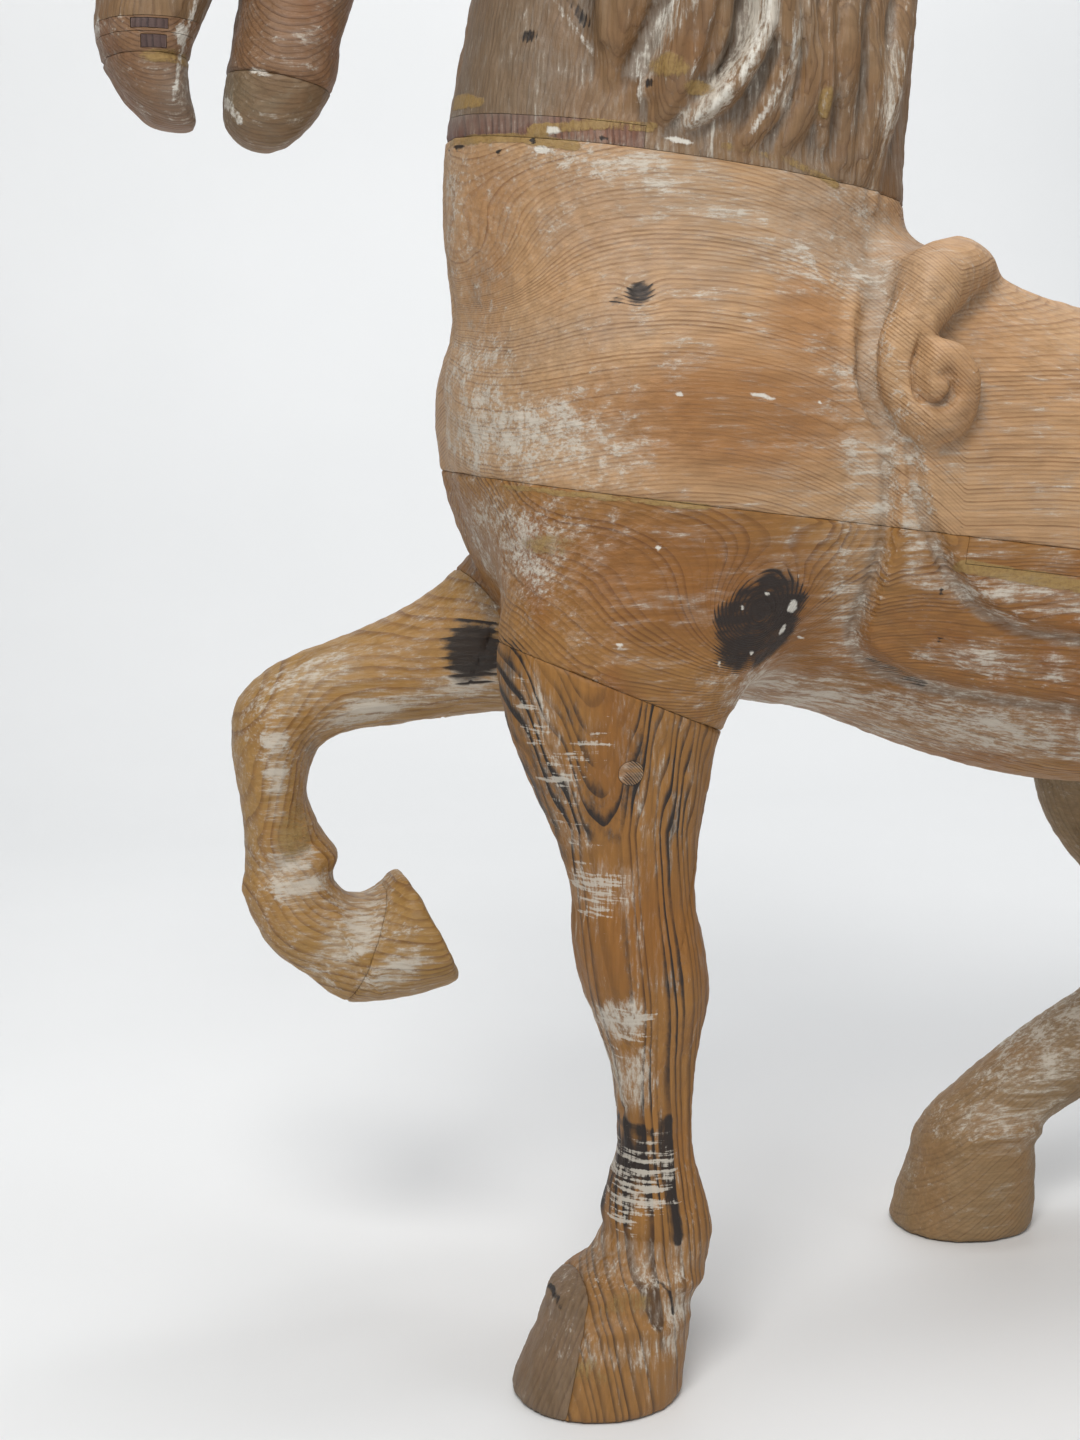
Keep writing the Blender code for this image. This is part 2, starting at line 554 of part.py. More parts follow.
def build_forelegs(shape, lower):
    half = GAP / 2
    tall = 0.60
    toe_room = slab("toe_room", TOE_SEAM, (-0.10, 0.06), (-half, 0.20), (-WIDE, -0.012))
    near = slab("near_foreleg", NEAR_LEG_SEAM, (-0.25, 0.30), (-tall, -half), (-WIDE, -0.0123), AMBER)
    plug_hole = rod("plug_hole", (0.010, NEAR_Y - 0.044, 0.392), (0, 1, 0), PLUG_RADIUS + GAP, 0.036)
    carve(near, shape, toe_room, plug_hole)
    toe = slab("near_fore_toe", TOE_SEAM, (-0.10, 0.06), (half, 0.20), (-WIDE, -0.0123), AMBER)
    carve(toe, shape)
    plug = rod("leg_plug", (0.010, NEAR_Y - 0.044 - GAP, 0.392), (0, 1, 0), PLUG_RADIUS, 0.036, PALE)
    carve(plug, shape)
    hoof_room = slab("far_hoof_room", FAR_HOOF_SEAM, (-0.10, 0.10), (-0.12, half), (0.020, WIDE))
    far = slab("far_foreleg", FAR_LEG_SEAM, (-0.10, 0.25), (-tall, -half), (0.0403, WIDE), AMBER)
    carve(far, shape, hoof_room)
    hoof = slab("far_fore_hoof", FAR_HOOF_SEAM, (-0.10, 0.10), (-0.12, -half), (0.020, WIDE), TAN)
    carve(hoof, shape)
    dowel("near_foreleg_dowel", (0.020, NEAR_Y + 0.004, 0.431), (0.386, 0, 0.922), (near, lower))
    dowel("far_foreleg_dowel", (-0.004, FAR_Y - 0.006, 0.440), (0.817, 0, 0.576), (far, lower))
    dowel("far_hoof_dowel", (-0.1035, FAR_Y, 0.250), (0.940, 0, -0.342), (far, hoof), HOCK_DOWEL_RADIUS, 0.040)


def build_hind_legs(shape, lower):
    """Each hind leg is a thigh under the body and a shank with the hoof, joined at the hock."""
    half = GAP / 2
    legs = (
        ("near", NEAR_HOCK_SEAM, (-0.40, half), (-0.40, -half), (-0.30, 0.07), (-WIDE, -0.001), NEAR_HIND_Y, 0.580),
        ("far", FAR_HOCK_SEAM, (-half, 0.40), (half, 0.40), (-0.30, 0.05), (0.001, WIDE), FAR_HIND_Y, 0.480),
    )
    for name, hock, room, across, along, y, centre_y, top_x in legs:
        thigh = slab(name + "_hind_thigh", HIND_SEAM, (-0.24, 0.225), (-0.342, -half), y, TAN)
        carve(thigh, shape, slab(name + "_shank_room", hock, along, room, y))
        shank = slab(name + "_hind_shank", hock, along, across, y, AMBER)
        carve(shank, shape)
        lean = math.radians(hock[2])
        dowel(name + "_thigh_dowel", (top_x, centre_y + 0.008, HIND_SEAM[1]), (0, 0, 1), (thigh, lower))
        middle = (hock[0], centre_y, hock[1])
        square_on = (-math.sin(lean), 0, math.cos(lean))
        dowel(name + "_hock_dowel", middle, square_on, (thigh, shank), HOCK_DOWEL_RADIUS, HOCK_DOWEL_LENGTH)


def build_neck(shape, upper):
    half = GAP / 2
    below = slab("below_neck", NECK_SEAM, (-FAR, FAR), (-0.60, half))
    shim_room = slab("shim_room", NECK_SEAM, (-0.16, -0.0497), (-0.01, SHIM_THICK + GAP))
    neck = slab("neck_block", HEAD_SEAM, (-0.60, 0.30), (-0.50, -half), colour=GREY_BROWN)
    carve(neck, shape, below, shim_room)
    shim = slab("neck_shim", NECK_SEAM, (-0.16, -0.05), (half, SHIM_THICK), colour=RED_BROWN)
    carve(shim, shape)
    lean = math.radians(NECK_SEAM[2])
    for name, along in (("neck_dowel_front", -0.025), ("neck_dowel_back", 0.070)):
        middle = (NECK_SEAM[0] + along * math.cos(lean), 0, NECK_SEAM[1] + along * math.sin(lean))
        dowel(name, middle, (-math.sin(lean), 0, math.cos(lean)), (neck, upper))
    return neck


def build_head(shape, neck):
    half = GAP / 2
    behind = slab("behind_head", HEAD_SEAM, (-0.60, 0.30), (-0.60, half))
    jaw_room = slab("jaw_room", JAW_SEAM, (0.007, 0.105), (-0.30, half))
    tip_room = slab("jaw_tip_room", JAW_TIP_SEAM, (-0.008, 0.090), (-0.10, half))
    lath_room = slab("muzzle_lath_room", MUZZLE_SEAM, (-0.06, 0.0275), (-0.08, LATH_TOP + half))
    ear_rooms = [slab("ear_room_" + n, EAR_SEAM, (-0.05, 0.05), (-half, 0.10), y) for n, y in EAR_SIDES]
    head = slab("head_block", HEAD_SEAM, (-0.45, 0.30), (half, 0.40), colour=GREY_BROWN)
    carve(head, shape, jaw_room, lath_room, *ear_rooms)
    jaw = slab("lower_jaw", JAW_SEAM, (0.007, 0.105), (-0.30, -half), colour=TAN)
    carve(jaw, shape, tip_room)
    tip = slab("lower_jaw_tip", JAW_TIP_SEAM, (-0.008, 0.090), (-0.10, -half), colour=TAN)
    carve(tip, shape)
    bands = (
        ("muzzle_tip", (-0.08, -half), ()),
        ("muzzle_band", (half, BAND_TOP - half), (-0.0110, 0.0030, 0.0020, 0.0090)),
        ("muzzle_lath", (BAND_TOP + half, LATH_TOP - half), (-0.0160, 0.0040, 0.0120, 0.0174)),
    )
    for name, across, inlay in bands:
        band = slab(name, MUZZLE_SEAM, (-0.06, 0.0275), across, colour=TAN)
        boolean(band, "INTERSECT", shape)
        if inlay:
            x0, x1, z0, z1 = inlay
            room = slab(name + "_inlay_room", MUZZLE_SEAM, (x0, x1), (z0, z1), (-WIDE, -INLAY_Y))
            boolean(band, "DIFFERENCE", room)
            piece_x = (x0 + GAP, x1 - GAP)
            piece_z = (z0 + GAP, z1 - GAP)
            piece = slab(name + "_inlay", MUZZLE_SEAM, piece_x, piece_z, (-WIDE, -INLAY_Y - GAP), RED_BROWN)
            boolean(piece, "INTERSECT", shape)
    for (name, y), side in zip(EAR_SIDES, (-1, 1)):
        ear = slab("ear_" + name, EAR_SEAM, (-0.05, 0.05), (half, 0.10), y, GREY_BROWN)
        carve(ear, shape)
        middle = (EAR_SEAM[0], side * 0.0415, EAR_SEAM[1])
        dowel("ear_dowel_" + name, middle, (0, 0, 1), (ear, head), EAR_DOWEL_RADIUS, EAR_DOWEL_LENGTH)
    lean = math.radians(HEAD_SEAM[2])
    middle = (HEAD_SEAM[0], 0, HEAD_SEAM[1])
    dowel("head_dowel", middle, (-math.sin(lean), 0, math.cos(lean)), (head, neck))
    lean = math.radians(JAW_SEAM[2])
    middle = (JAW_SEAM[0] + 0.040 * math.cos(lean), 0, JAW_SEAM[1] + 0.040 * math.sin(lean))
    square_on = (-math.sin(lean), 0, math.cos(lean))
    dowel("jaw_dowel", middle, square_on, (head, jaw), HOCK_DOWEL_RADIUS, 0.040)


for old in list(bpy.data.objects):
    bpy.data.objects.remove(old)
parts = new_collection("carousel_horse")
cutters = new_collection("carving_shapes")
horse = bpy.data.objects.new("horse", None)
horse.location = (-DRAWING_SHIFT, 0, -SOLE_Z)
parts.objects.link(horse)

carcass = carcass_shape()
top = top_shape()
upper_body, lower_body, tail_piece = build_body(carcass)
dowel("tail_dowel", (TAIL_SEAM[0], 0, 0.612), (1, 0, 0), (upper_body, tail_piece), length=0.050)
build_forelegs(carcass, lower_body)
build_hind_legs(carcass, lower_body)
neck_piece = build_neck(top, upper_body)
build_head(top, neck_piece)
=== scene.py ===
"""A carved carousel horse in stripped pine: its carved surface, glue lines, wood and old paint.

The drawn tables are in millimetres, in a side view whose origin is the centre of the near fore hoof.
The sections repeat the part's own; a few rows at the chest notch, the scroll and the cloth edges
are refined. The carved surface is grown as one distance field, then sawn into the same blocks as
the CAD, and each block stands for its node.
"""

import math

import bmesh
import bpy
import numpy as np
import openvdb
from mathutils import Matrix, Vector


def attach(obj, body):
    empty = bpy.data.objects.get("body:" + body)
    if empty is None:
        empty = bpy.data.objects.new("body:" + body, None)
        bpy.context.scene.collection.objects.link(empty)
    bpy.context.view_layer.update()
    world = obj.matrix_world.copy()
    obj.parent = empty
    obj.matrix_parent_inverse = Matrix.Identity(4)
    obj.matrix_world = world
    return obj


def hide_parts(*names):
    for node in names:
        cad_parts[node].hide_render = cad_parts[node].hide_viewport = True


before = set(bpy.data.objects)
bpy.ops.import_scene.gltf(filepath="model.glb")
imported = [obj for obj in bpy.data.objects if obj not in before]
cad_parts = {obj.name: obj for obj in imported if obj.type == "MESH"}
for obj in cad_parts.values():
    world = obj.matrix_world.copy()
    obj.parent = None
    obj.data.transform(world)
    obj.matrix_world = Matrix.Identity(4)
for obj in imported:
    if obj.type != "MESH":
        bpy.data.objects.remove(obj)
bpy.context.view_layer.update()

SHIFT = np.array((0.2755, 0.0, 0.011))  # from the row frame to the drawing
VOXEL = 0.0021
BAND = 14 if VOXEL < 0.003 else 9  # voxels on each side of the surface that hold a distance
DEEP = BAND * VOXEL
LOW = (-0.290, -0.170, -0.006)
HIGH = (0.840, 0.170, 1.190)
ORIGIN = np.floor(np.array(LOW) / VOXEL).astype(int)
SHAPE = np.ceil((np.array(HIGH) - np.array(LOW)) / VOXEL).astype(int)
GRID_TRANSFORM = openvdb.createLinearTransform(voxelSize=VOXEL)
MM = 1000  # millimetres in a metre
SOLE = 11  # height of the soles in the drawing, in millimetres
SOLE_Z = SOLE / MM
FAR_AWAY = 9.0  # more than any distance on the horse, in metres
GAP = 0.0003  # glue line between two blocks
NEAR_Y = -0.078  # standing near foreleg
FAR_Y = 0.090  # raised far foreleg
NEAR_HIND_Y = -0.105
FAR_HIND_Y = 0.105
PLUG_RADIUS = 0.007
# Glue lines in the side view, in metres: a point on the line and its angle in degrees.
NECK_SEAM = (0.0750, 0.7265, -7.2)
BODY_SEAM = (0.0840, 0.5355, -7.1)
NEAR_LEG_SEAM = (0.0090, 0.4355, -22.7)
FAR_LEG_SEAM = (0.0000, 0.4325, -54.8)
HIND_SEAM = (0.5000, 0.3420, 0.0)
HEAD_SEAM = (-0.0290, 1.0100, 72.0)
JAW_SEAM = (-0.1830, 0.8460, -16.3)
JAW_TIP_SEAM = (-0.1900, 0.7765, -11.0)
MUZZLE_SEAM = (-0.2300, 0.7805, 0.0)
TOE_SEAM = (-0.0180, 0.0450, 75.4)
FAR_HOOF_SEAM = (-0.1035, 0.2500, 70.0)
NEAR_HOCK_SEAM = (0.6550, 0.2280, 14.0)
FAR_HOCK_SEAM = (0.4720, 0.1780, 121.0)
TAIL_SEAM = (0.7030, 0.6000, 90.0)
EAR_SEAM = (-0.0650, 1.1120, 0.0)

# Section rows in millimetres: x and z of one edge, x and z of the opposite edge, half width and,
# where the section is off the centre of its part, how far.
TRUNK = (
    (-67, 612, -67, 574, 22), (-61, 628, -61, 545, 48), (-42, 664, -42, 496, 84),
    (-8, 705, -8, 454, 111), (40, 722, 40, 424, 127), (100, 722, 100, 416, 131),
    (160, 710, 160, 405, 129), (230, 679, 230, 378, 129), (300, 650, 300, 358, 132),
    (370, 640, 370, 351, 134), (440, 644, 440, 357, 133), (510, 658, 510, 377, 132),
    (570, 667, 570, 404, 130), (620, 660, 620, 425, 118), (660, 637, 660, 450, 94),
    (685, 605, 685, 482, 58), (696, 570, 696, 515, 24),
)
NECK = (
    (-40, 600, 190, 600, 100), (-60, 650, 205, 650, 104), (-66, 700, 212, 700, 99),
    (-63, 750, 210, 755, 90), (-49, 822, 206, 838, 81), (-43, 869, 190, 915, 73),
    (-46, 910, 130, 1008, 63), (-58, 948, 56, 1072, 56), (-80, 975, -15, 1102, 50),
    (-110, 990, -70, 1100, 42),
)
HEAD = (
    (-98, 1108, -40, 1088, 30), (-142, 1090, -8, 1036, 56), (-173, 1052, -10, 979, 65),
    (-194, 1000, -35, 928, 61), (-218, 942, -84, 880, 52), (-238, 890, -112, 842, 45),
    (-248, 862, -160, 846, 42),
)
UPPER_JAW = (
    (-236, 895, -150, 880, 40), (-250, 855, -178, 848, 42), (-258, 826, -194, 822, 42),
    (-262, 800, -205, 799, 44), (-258, 781, -212, 780, 43), (-248, 762, -211, 760, 37),
    (-234, 748, -208, 747, 24), (-222, 744, -212, 744, 8),
)
LOWER_JAW = (
    (-160, 890, -80, 890, 40), (-172, 860, -100, 858, 38), (-181, 825, -117, 822, 36),
    (-186, 795, -127, 793, 38), (-191, 772, -131, 770, 37), (-192, 750, -143, 750, 30),
    (-184, 738, -156, 738, 18), (-174, 734, -166, 734, 6),
)
NEAR_FORELEG = (
    (-20, 540, 95, 540, 40, 6), (-46, 490, 105, 490, 50, 2), (-53, 450, 96, 450, 52),
    (-50, 427, 85, 427, 49), (-44, 404, 73, 404, 45), (-29, 369, 66, 369, 40), (-16, 339, 61, 339, 36),
    (-9, 309, 61, 309, 34), (-8, 285, 66, 285, 35), (-2, 258, 70, 258, 34), (6, 234, 67, 234, 29),
    (14, 210, 63, 210, 24), (18, 180, 61, 180, 22), (18, 155, 62, 155, 23), (11, 130, 69, 130, 28),
    (6, 106, 74, 106, 31), (-2, 88, 69, 86, 32), (-20, 74, 60, 66, 38, -1), (-30, 52, 58, 46, 43, -2),
    (-42, 26, 55, 24, 47, -2), (-47, SOLE, 53, SOLE, 49, -2),
)
FAR_FORELEG = (
    (30, 535, 60, 430, 45, -14), (-20, 503, 20, 402, 47, -6), (-62, 471, -38, 396, 41),
    (-108, 450, -84, 391, 34), (-146, 436, -114, 388, 33), (-178, 412, -128, 380, 34),
    (-184, 380, -133, 368, 32), (-180, 345, -136, 347, 27), (-178, 318, -130, 326, 25),
    (-179, 302, -118, 309, 25), (-180, 286, -124, 298, 26), (-165, 252, -114, 283, 29),
    (-141, 231, -99, 282, 30), (-117, 213, -90, 287, 36), (-80, 213, -84, 293, 42),
    (-41, 222, -79, 298, 46),
)
NEAR_HIND_LEG = (
    (480, 600, 660, 600, 40, 35), (445, 530, 700, 530, 54, 22), (428, 450, 692, 462, 54, 14),
    (445, 385, 678, 408, 50, 10), (490, 335, 672, 362, 42, 6), (543, 300, 680, 328, 35, 2),
    (585, 272, 694, 298, 31), (609, 240, 702, 264, 29), (623, 205, 688, 220, 26),
    (632, 165, 681, 168, 22), (632, 132, 686, 128, 26), (624, 106, 692, 98, 30), (612, 86, 682, 76, 31),
    (596, 70, 672, 58, 37), (582, 38, 670, 34, 44), (570, SOLE, 669, SOLE, 48),
)
FAR_HIND_LEG = (
    (460, 600, 650, 600, 40, -35), (405, 520, 692, 530, 56, -22), (376, 430, 668, 470, 56, -14),
    (371, 360, 622, 412, 50, -10), (384, 308, 598, 368, 44, -6), (413, 270, 593, 322, 38, -2),
    (448, 240, 597, 280, 32), (472, 221, 594, 236, 30), (477, 209, 548, 187, 28),
    (454, 194, 482, 150, 26), (424, 174, 453, 122, 28), (394, 157, 424, 100, 31),
    (360, 134, 396, 85, 31), (328, 110, 383, 72, 34), (306, 90, 384, 58, 38), (291, 50, 384, 34, 44),
    (279, SOLE, 382, SOLE, 48),
)
TAIL = (
    (640, 640, 655, 575, 22), (692, 648, 700, 582, 30), (748, 640, 722, 572, 36),
    (790, 596, 728, 548, 41), (808, 530, 731, 505, 43), (813, 450, 733, 440, 42),
    (811, 370, 735, 370, 36), (803, 300, 742, 306, 26), (786, 245, 752, 254, 13),
    (768, 212, 762, 216, 4),
)
EAR = (
    (-86, 1078, -42, 1082, 14, 38), (-88, 1104, -46, 1106, 15, 41), (-84, 1130, -52, 1131, 12, 45),
    (-78, 1152, -62, 1152, 6, 47), (-73, 1163, -70, 1163, 1, 48),
)
CANTLE = (
    (410, 646.5, 410, 540, 110), (440, 656, 440, 540, 118), (470, 677, 470, 540, 116),
    (492, 694, 492, 545, 110), (506, 698, 506, 550, 104), (516, 690, 516, 555, 100),
    (520, 676, 520, 560, 98),
)
# Swept rolls and locks in millimetres: x, y, z and radius along the middle; y is for the near side.
POMMEL_ROLL = (
    (254, 0, 672, 15), (242, -30, 674, 15), (225, -65, 674, 14), (202, -95, 669, 12.5),
    (175, -118, 652, 11), (157, -129, 630, 9.8), (155.5, -132, 604.5, 8.5), (163.5, -133, 590, 7.8),
    (177.5, -133.5, 586, 7.2), (189, -134, 593, 6.6), (192.5, -134.5, 604.5, 6), (187, -135, 614.5, 5.5),
    (177.5, -135.5, 616, 5), (170.5, -136, 611, 4.6), (170.5, -136, 604, 4.2), (176, -136, 600.5, 4),
    (180, -136, 605, 3.8),
)
CREST_ROLL = (
    (-50, 0, 1092, 12), (0, 0, 1096, 18), (60, 0, 1064, 22), (132, 0, 998, 24), (184, 0, 915, 25),
    (198, 0, 836, 25), (200, 0, 770, 21), (198, 0, 722, 15),
)
MANE_LOCKS = (
    (
        (10, -8, 1094, 14), (-22, -40, 1050, 18), (-40, -56, 998, 18), (-14, -62, 948, 14),
        (-30, -66, 902, 4),
    ),
    ((62, -10, 1066, 16), (26, -46, 1010, 20), (-2, -66, 935, 20), (16, -78, 862, 16), (4, -84, 790, 4)),
    ((120, -12, 1016, 18), (76, -50, 962, 24), (44, -74, 890, 26), (56, -82, 828, 24), (32, -88, 766, 6)),
    ((158, -12, 966, 18), (124, -50, 905, 24), (94, -74, 845, 25), (98, -82, 795, 22), (68, -88, 746, 6)),
    (
        (182, -12, 925, 18), (158, -46, 868, 22), (136, -68, 815, 22), (132, -76, 772, 18),
        (108, -82, 738, 6),
    ),
    (
        (198, -12, 880, 18), (186, -36, 832, 20), (170, -56, 790, 20), (166, -64, 755, 16),
        (150, -70, 726, 6),
    ),
)
# Outlines of the saddle cloth and its flap in millimetres: x and z.
CLOTH_OUTLINE = (
    (166, 760), (163, 600), (162, 563), (163, 525), (158, 490), (155, 461), (161, 452.5), (190, 439),
    (220, 431), (274, 423), (360, 416), (440, 420), (500, 434), (530, 460), (540, 520), (542, 760),
)
FLAP_OUTLINE = (
    (176, 760), (170, 610), (170, 577), (176, 552), (184, 530), (200, 503), (220, 483), (244, 471),
    (274, 466), (310, 461), (360, 459), (420, 464), (456, 488), (476, 530), (492, 600), (508, 760),
)

SHIM_THICK = 0.0120
BAND_TOP = 0.0105  # above the muzzle seam
LATH_TOP = 0.0185
INLAY_Y = 0.0360
NEAR_EAR_Y, FAR_EAR_Y = (-0.080, -0.015), (0.015, 0.080)
EYE = (-0.128, 0.056, 1.020)
EYE_RADII = (0.017, 0.012, 0.013)
NOSTRIL = (-0.246, 0.040, 0.828)
NOSTRIL_RADII = (0.009, 0.010, 0.012)


# The distance field of the carved surface.


def smooth_rows(rows, fine):
    """The rows with `fine` spans between each pair, on a Catmull-Rom curve through them."""
    rows = np.array(rows, float)
    last = len(rows) - 1
    out = []
    for i in range(last):
        p, q, r, s = (rows[min(max(j, 0), last)] for j in range(i - 1, i + 3))
        for step in range(fine):
            t = step / fine
            bend = (2 * p - 5 * q + 4 * r - s) * t**2 + (3 * q - p - 3 * r + s) * t**3
            out.append(q + 0.5 * ((r - p) * t + bend))
    out.append(rows[last])
    return np.array(out)


def metres(values):
    return np.array(values, float) / MM


def sections(rows, centre):
    """Section rows in metres, six values each, with their middles counted from `centre`."""
    rows = metres([(*row, 0)[:6] for row in rows])
    rows[:, 5] += centre
    return rows


def soft_curve(points, fine=5):
    """A quadratic B-spline through the middles of the control lines, from the first point to the last."""
    points = np.array(points, float)
    joints = [points[0], *((points[1:-2] + points[2:-1]) / 2), points[-1]]
    out = []
    for start, control, end in zip(joints, points[1:-1], joints[1:]):
        for step in range(fine):
            t = step / fine
            out.append(start * (1 - t) ** 2 + control * 2 * t * (1 - t) + end * t**2)
    out.append(points[-1])
    return np.array(out)


def power(value, square):
    return np.sign(value) * np.abs(value) ** (2 / square)


def soft_min(a, b, reach):
    near = np.clip(1 - np.abs(a - b) / reach, 0, 1)
    return np.minimum(a, b) - near * near * reach / 4


def ramp(value, start, end):
    """0 at start, 1 at end, eased."""
    t = np.clip((value - start) / (end - start), 0, 1)
    return t * t * (3 - 2 * t)


def skin(rows, centre=0.0, sides=72, square=2.0, side=1):
    """Points, quads and cap triangles of a closed skin over section rings."""
    rows = smooth_rows(sections(rows, centre), 6)
    turn = math.tau * (np.arange(sides) + 0.5) / sides
    c = power(np.cos(turn), square)
    s = power(np.sin(turn), square)
    first = np.stack((rows[:, 0], side * rows[:, 5], rows[:, 1]), 1)
    second = np.stack((rows[:, 2], side * rows[:, 5], rows[:, 3]), 1)
    middle = (first + second) / 2
    points = middle[:, None] + (first - second)[:, None] / 2 * c[None, :, None]
    points[:, :, 1] += rows[:, 4:5] * s
    count = len(rows)
    start = (np.arange(count - 1) * sides)[:, None]
    here = np.arange(sides)[None]
    after = (here + 1) % sides
    quads = np.stack((start + here, start + after, start + sides + after, start + sides + here), -1)
    here, after = here[0], after[0]
    tip = count * sides
    last = tip - sides
    caps = np.concatenate((
        np.stack((np.full(sides, tip), after, here), 1),
        np.stack((np.full(sides, tip + 1), last + here, last + after), 1),
    ))
    points = np.concatenate((points.reshape(-1, 3), middle[:1], middle[-1:]))
    return points, quads.reshape(-1, 4), caps


def add_skin(field, reach, rows, **shape):
    """Joins a skin to the field with a fillet of about `reach`."""
    points, quads, caps = skin(rows, **shape)
    grid = openvdb.FloatGrid.createLevelSetFromPolygons(
        points.astype(np.float32), triangles=caps.astype(np.uint32), quads=quads.astype(np.uint32),
        transform=GRID_TRANSFORM, halfWidth=float(BAND),
    )
    low, high = grid.evalActiveVoxelBoundingBox()
    low = np.maximum(np.array(low), ORIGIN)
    high = np.minimum(np.array(high) + 1, ORIGIN + SHAPE)
    part = np.empty(high - low, np.float32)
    grid.copyToArray(part, ijk=tuple(int(v) for v in low))
    a, b = low - ORIGIN, high - ORIGIN
    view = field[a[0]:b[0], a[1]:b[1], a[2]:b[2]]
    view[...] = soft_min(view, part, reach)


def window_of(low, high):
    """Slices of the grid round a box, and the three coordinate axes in it."""
    a = np.clip(np.floor(np.array(low) / VOXEL).astype(int) - ORIGIN, 0, SHAPE)
    b = np.clip(np.ceil(np.array(high) / VOXEL).astype(int) - ORIGIN + 1, 0, SHAPE)
    cut = tuple(slice(p, q) for p, q in zip(a, b))
    axes = [(ORIGIN[k] + np.arange(a[k], b[k])) * VOXEL for k in range(3)]
    return cut, axes[0][:, None, None], axes[1][None, :, None], axes[2][None, None, :]


def add_bar(field, reach, points, side=1, mirrored=False):
    """Joins a round bar of changing radius, given as x, y, z and radius along its middle."""
    bars = [(x, side * y, z, r) for x, y, z, r in metres(points)]
    if mirrored:
        bars = [(x, -y, z, r) for x, y, z, r in bars[:0:-1]] + bars
    bars = soft_curve(bars)
    grow = bars[:, 3].max() + reach + 3 * VOXEL
    cut, x, y, z = window_of(bars[:, :3].min(0) - grow, bars[:, :3].max(0) + grow)
    best = np.full(np.broadcast_shapes(x.shape, y.shape, z.shape), DEEP, np.float32)
    for a, b in zip(bars, bars[1:]):
        reach_low = np.minimum(a[:3], b[:3]) - grow
        reach_high = np.maximum(a[:3], b[:3]) + grow
        inner, x, y, z = window_of(reach_low, reach_high)
        local = tuple(slice(i.start - c.start, i.stop - c.start) for i, c in zip(inner, cut))
        step = b - a
        along = (x - a[0]) * step[0] + (y - a[1]) * step[1] + (z - a[2]) * step[2]
        t = np.clip(along / max((step[:3] ** 2).sum(), 1e-12), 0, 1)
        away = (x - a[0] - t * step[0]) ** 2 + (y - a[1] - t * step[1]) ** 2 + (z - a[2] - t * step[2]) ** 2
        part = np.sqrt(away) - a[3] - t * step[3]
        best[local] = np.minimum(best[local], part)
    field[cut] = soft_min(field[cut], best, reach)


def add_ball(field, reach, middle, radii, cut_out=False):
    """Joins an ellipsoid to the field, or takes it out."""
    radii = np.array(radii)
    grow = radii + reach + 3 * VOXEL
    cut, x, y, z = window_of(np.array(middle) - grow, np.array(middle) + grow)
    q = np.sqrt(((x - middle[0]) / radii[0]) ** 2 + ((y - middle[1]) / radii[1]) ** 2
                + ((z - middle[2]) / radii[2]) ** 2)
    part = np.clip((q - 1) * radii.min(), -DEEP, DEEP)
    if cut_out:
        field[cut] = -soft_min(-field[cut], part, reach)
    else:
        field[cut] = soft_min(field[cut], part, reach)


def blur(values, passes):
    """Values averaged with their neighbours along each axis, `passes` times."""
    for _ in range(passes):
        for axis in range(values.ndim):
            inner = [slice(None)] * values.ndim
            before, after = list(inner), list(inner)
            inner[axis] = slice(1, -1)
            before[axis] = slice(None, -2)
            after[axis] = slice(2, None)
            middle = values[tuple(inner)]
            moved = 0.5 * middle + 0.25 * (values[tuple(before)] + values[tuple(after)])
            values[tuple(inner)] = moved
    return values


# Relief maps: heights over the side view, one map for each side of the horse.

XS = (ORIGIN[0] + np.arange(SHAPE[0])) * VOXEL
ZS = (ORIGIN[2] + np.arange(SHAPE[2])) * VOXEL


def trace(rows, reach):
    """Where a drawn line passes: its window of the map, and the distance, side and values there."""
    rows = smooth_rows(rows, 5)
    i = np.searchsorted(XS, (rows[:, 0].min() - reach, rows[:, 0].max() + reach))
    k = np.searchsorted(ZS, (rows[:, 1].min() - reach, rows[:, 1].max() + reach))
    x = XS[i[0]:i[1], None]
    z = ZS[None, k[0]:k[1]]
    best = np.full((x.shape[0], z.shape[1]), FAR_AWAY)
    hand = np.zeros_like(best)
    values = np.zeros((*best.shape, rows.shape[1] - 2))
    for a, b in zip(rows, rows[1:]):
        step = b - a
        long = max(step[0] ** 2 + step[1] ** 2, 1e-12)
        t = np.clip(((x - a[0]) * step[0] + (z - a[1]) * step[1]) / long, 0, 1)
        away_x = x - a[0] - t * step[0]
        away_z = z - a[1] - t * step[1]
        distance = np.hypot(away_x, away_z)
        nearer = distance < best
        best = np.where(nearer, distance, best)
        hand = np.where(nearer, np.sign(step[0] * away_z - step[1] * away_x), hand)
        values = np.where(nearer[..., None], a[2:] + t[..., None] * step[2:], values)
    return (slice(*i), slice(*k)), best, hand, values


def stroke(maps, rows):
    """A ridge, or with a negative height a groove: rows of x, z, width and height."""
    rows = metres(rows)
    cut, distance, _, values = trace(rows, 2.6 * rows[:, 2].max())
    ridge = values[..., 1] * np.exp(-((distance / np.maximum(values[..., 0], 1e-4)) ** 2))
    for relief in maps:
        relief[cut] += ridge


